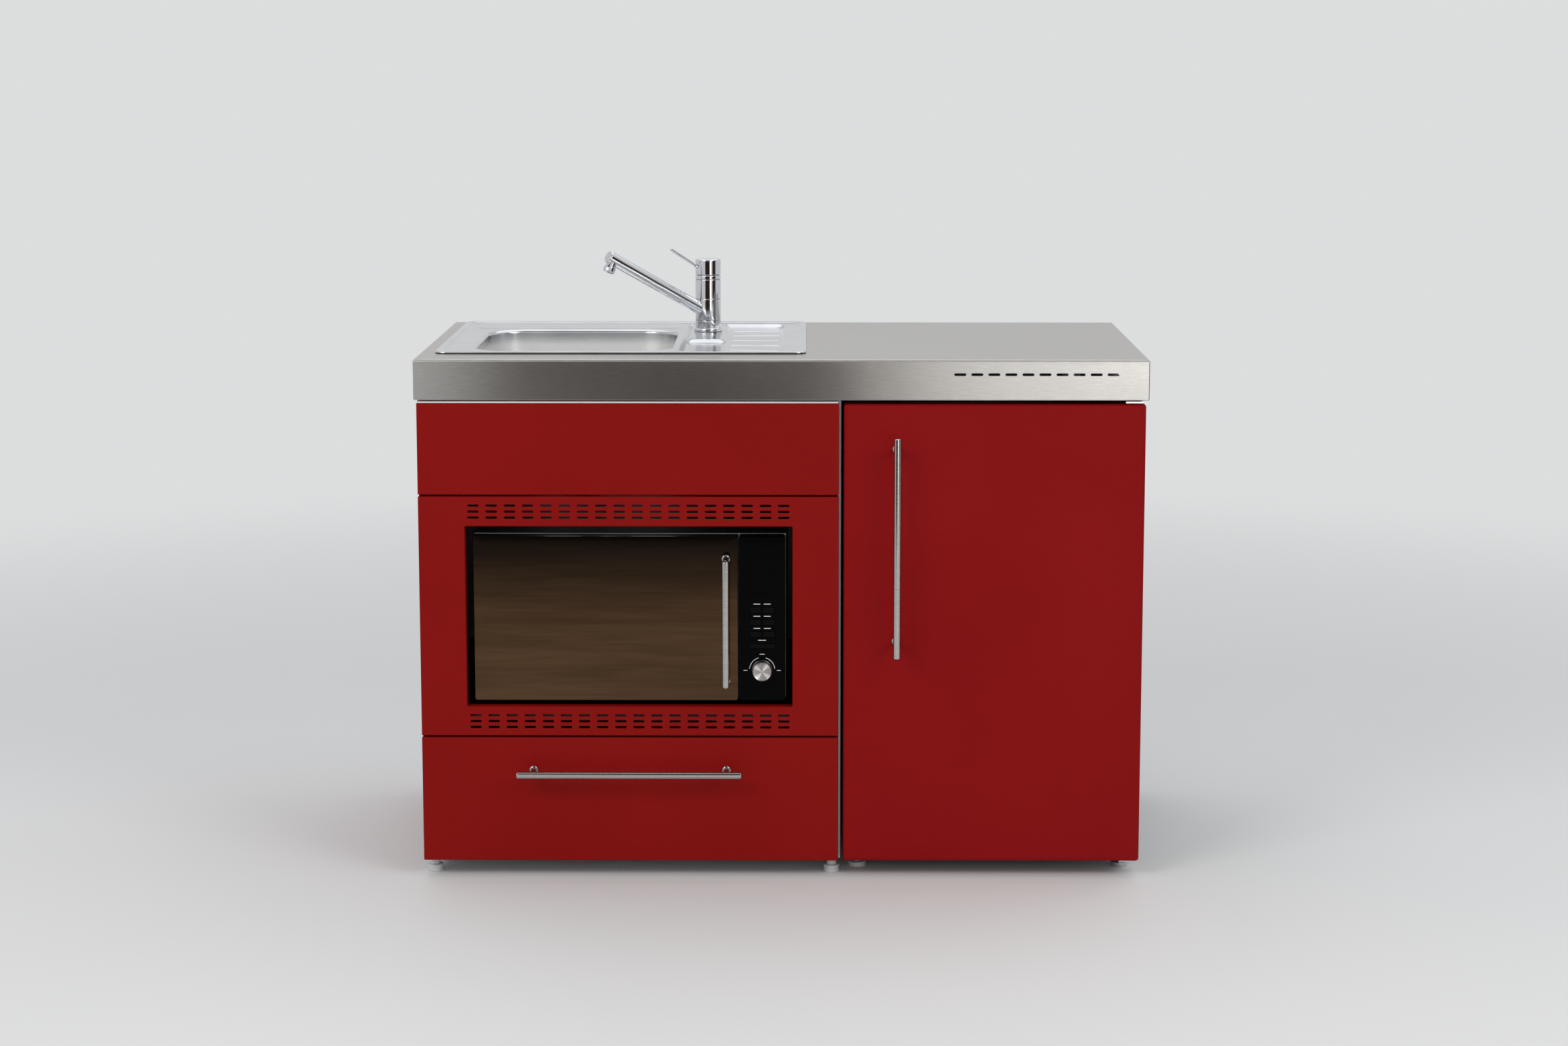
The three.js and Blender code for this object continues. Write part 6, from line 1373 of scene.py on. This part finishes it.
# The camera, tilted down by its pitch and turned a little left.
def makeCamera():
    v = viewValues
    camera = bpy.data.objects.new("camera", bpy.data.cameras.new("camera"))
    scene.collection.objects.link(camera)
    camera.location = v["place"]
    camera.rotation_euler = (math.radians(90 - v["pitch"]), 0, math.radians(v["turn"]))
    camera.data.lens, camera.data.shift_y = v["lens"], v["shift"]
    camera.data.sensor_width, camera.data.clip_end = v["sensor"], v["farthest"]
    scene.camera = camera


stageValues = {"floor": (0.76, 0.755, 0.75), "floorShade": (0.74, 0.735, 0.73), "reach": 24.0,
               "fade": (1.4, 4.2), "sky": (0.72, 0.725, 0.73), "skyLight": (0.92, 0.96, 1.0),
               "skyStrength": 0.5, "flag": (0.046, 0.022, 0.012),
               "flags": [[(-0.58, -0.9, 0.46), (0.22, -0.9, 0.46), (0.22, -0.9, 0.99),
                          (-0.58, -0.9, 0.99)],
                         [(-1.6, -1.9, 2.3), (0.3, -1.9, 2.3), (0.3, -0.9, 2.5), (-1.6, -0.9, 2.5)],
                         [(1.3, -1.5, 0.4), (1.9, -0.5, 0.4), (1.9, -0.5, 1.7), (1.3, -1.5, 1.7)]]}


# One quad of the studio, with the kinds of ray that don't see it.
def stagePlane(name, corners, material, **visible):
    mesh = bpy.data.meshes.new(name)
    mesh.from_pydata(corners, [], [(0, 1, 2, 3)])
    plane = bpy.data.objects.new(name, mesh)
    scene.collection.objects.link(plane)
    mesh.materials.append(material)
    for key, value in visible.items():
        setattr(plane, "visible_" + key, value)


# 1 for a ray that looks: from the camera, off a mirror or through glass.
def lookingRay(p):
    path = [p.add("LightPath", output="Is %s Ray" % kind) for kind in ("Camera", "Glossy", "Transmission")]
    return (path[0] + path[1] + path[2]).atMost(1.0)


# The floor, which looks like the sky far out.
def makeFloor():
    v = stageValues
    p = Paint("floorPlain")
    p.surface(baseColor=p.mix(p.noise(1.5, 3), v["floorShade"], v["floor"]), roughness=0.8)
    x, y = p.axes()[:2]
    far = (x * x + y * y).root().ramp(*v["fade"])
    sky = p.add("Emission", {}, {"Color": v["sky"]})
    inputs = {0: far * lookingRay(p), 1: Value(p, p.shader.outputs[0]), 2: sky}
    p.put(p.nodes["Material Output"].inputs[0], p.add("MixShader", {}, inputs))
    r = v["reach"]
    stagePlane("floor", [(-r, -r, 0), (r, -r, 0), (r, r, 0), (-r, r, 0)], p.owner)


# Dark flags that only the steel and the chrome reflect.
def makeFlags():
    p = Paint("darkFlag")
    p.surface(baseColor=stageValues["flag"], roughness=1.0)
    for i, corners in enumerate(stageValues["flags"]):
        stagePlane("flag%d" % i, corners, p.owner, camera=False, diffuse=False, shadow=False)


# The world: pale to a ray that looks, and a softer light to the rest.
def makeWorld():
    v = stageValues
    scene.world = bpy.data.worlds.new("studio")
    p = Paint("studio", scene.world)
    light = p.add("Background", {}, {"Color": v["skyLight"], "Strength": v["skyStrength"]})
    backdrop = p.add("Background", {}, {"Color": v["sky"], "Strength": 1.0})
    mixed = p.add("MixShader", {}, {0: lookingRay(p), 1: light, 2: backdrop})
    p.put(p.nodes["World Output"].inputs[0], mixed)


lampValues = {  # place, aimed at, width, height, watts, colour, lights the paint, shows in the steel
    "lamp1": ((-2.6, -3.4, 3.0), (-0.1, 0, 0.6), 2.2, 1.6, 62, (1.0, 0.985, 0.96), True, True),
    "lamp2": ((2.8, -3.0, 2.6), (0.1, 0, 0.5), 2.0, 1.6, 46, (1.0, 0.985, 0.96), True, True),
    "lamp3": ((0.2, 0.9, 3.6), (0, 0.1, 0.8), 5.0, 3.6, 44, (0.96, 0.98, 1.0), True, True),
    "lamp4": ((-0.2, -4.6, 1.5), (-0.1, 0, 0.2), 1.7, 0.9, 20, (1.0, 0.98, 0.95), True, False),
    "lamp5": ((1.5, -4.5, 0.5), (0, 0, 0.4), 1.7, 0.9, 15, (1.0, 0.98, 0.95), False, True)}


# Soft lamps: each is a rectangle, turned and tilted to face the point it is aimed at.
def makeLamps():
    for name, (place, aim, width, height, watts, colour, diffuse, glossy) in lampValues.items():
        data = bpy.data.lights.new(name, "AREA")
        data.shape, data.size, data.size_y = "RECTANGLE", width, height
        data.energy, data.color = watts, colour
        lamp = bpy.data.objects.new(name, data)
        scene.collection.objects.link(lamp)
        lamp.location = place
        away = np.array(place) - np.array(aim)
        level = math.hypot(away[0], away[1])
        lamp.rotation_euler = (math.atan2(level, away[2]), 0, math.atan2(away[0], -away[1]))
        lamp.visible_camera, lamp.visible_diffuse, lamp.visible_glossy = False, diffuse, glossy


makeCamera()
makeFloor()
makeFlags()
makeWorld()
makeLamps()
print("stage done")
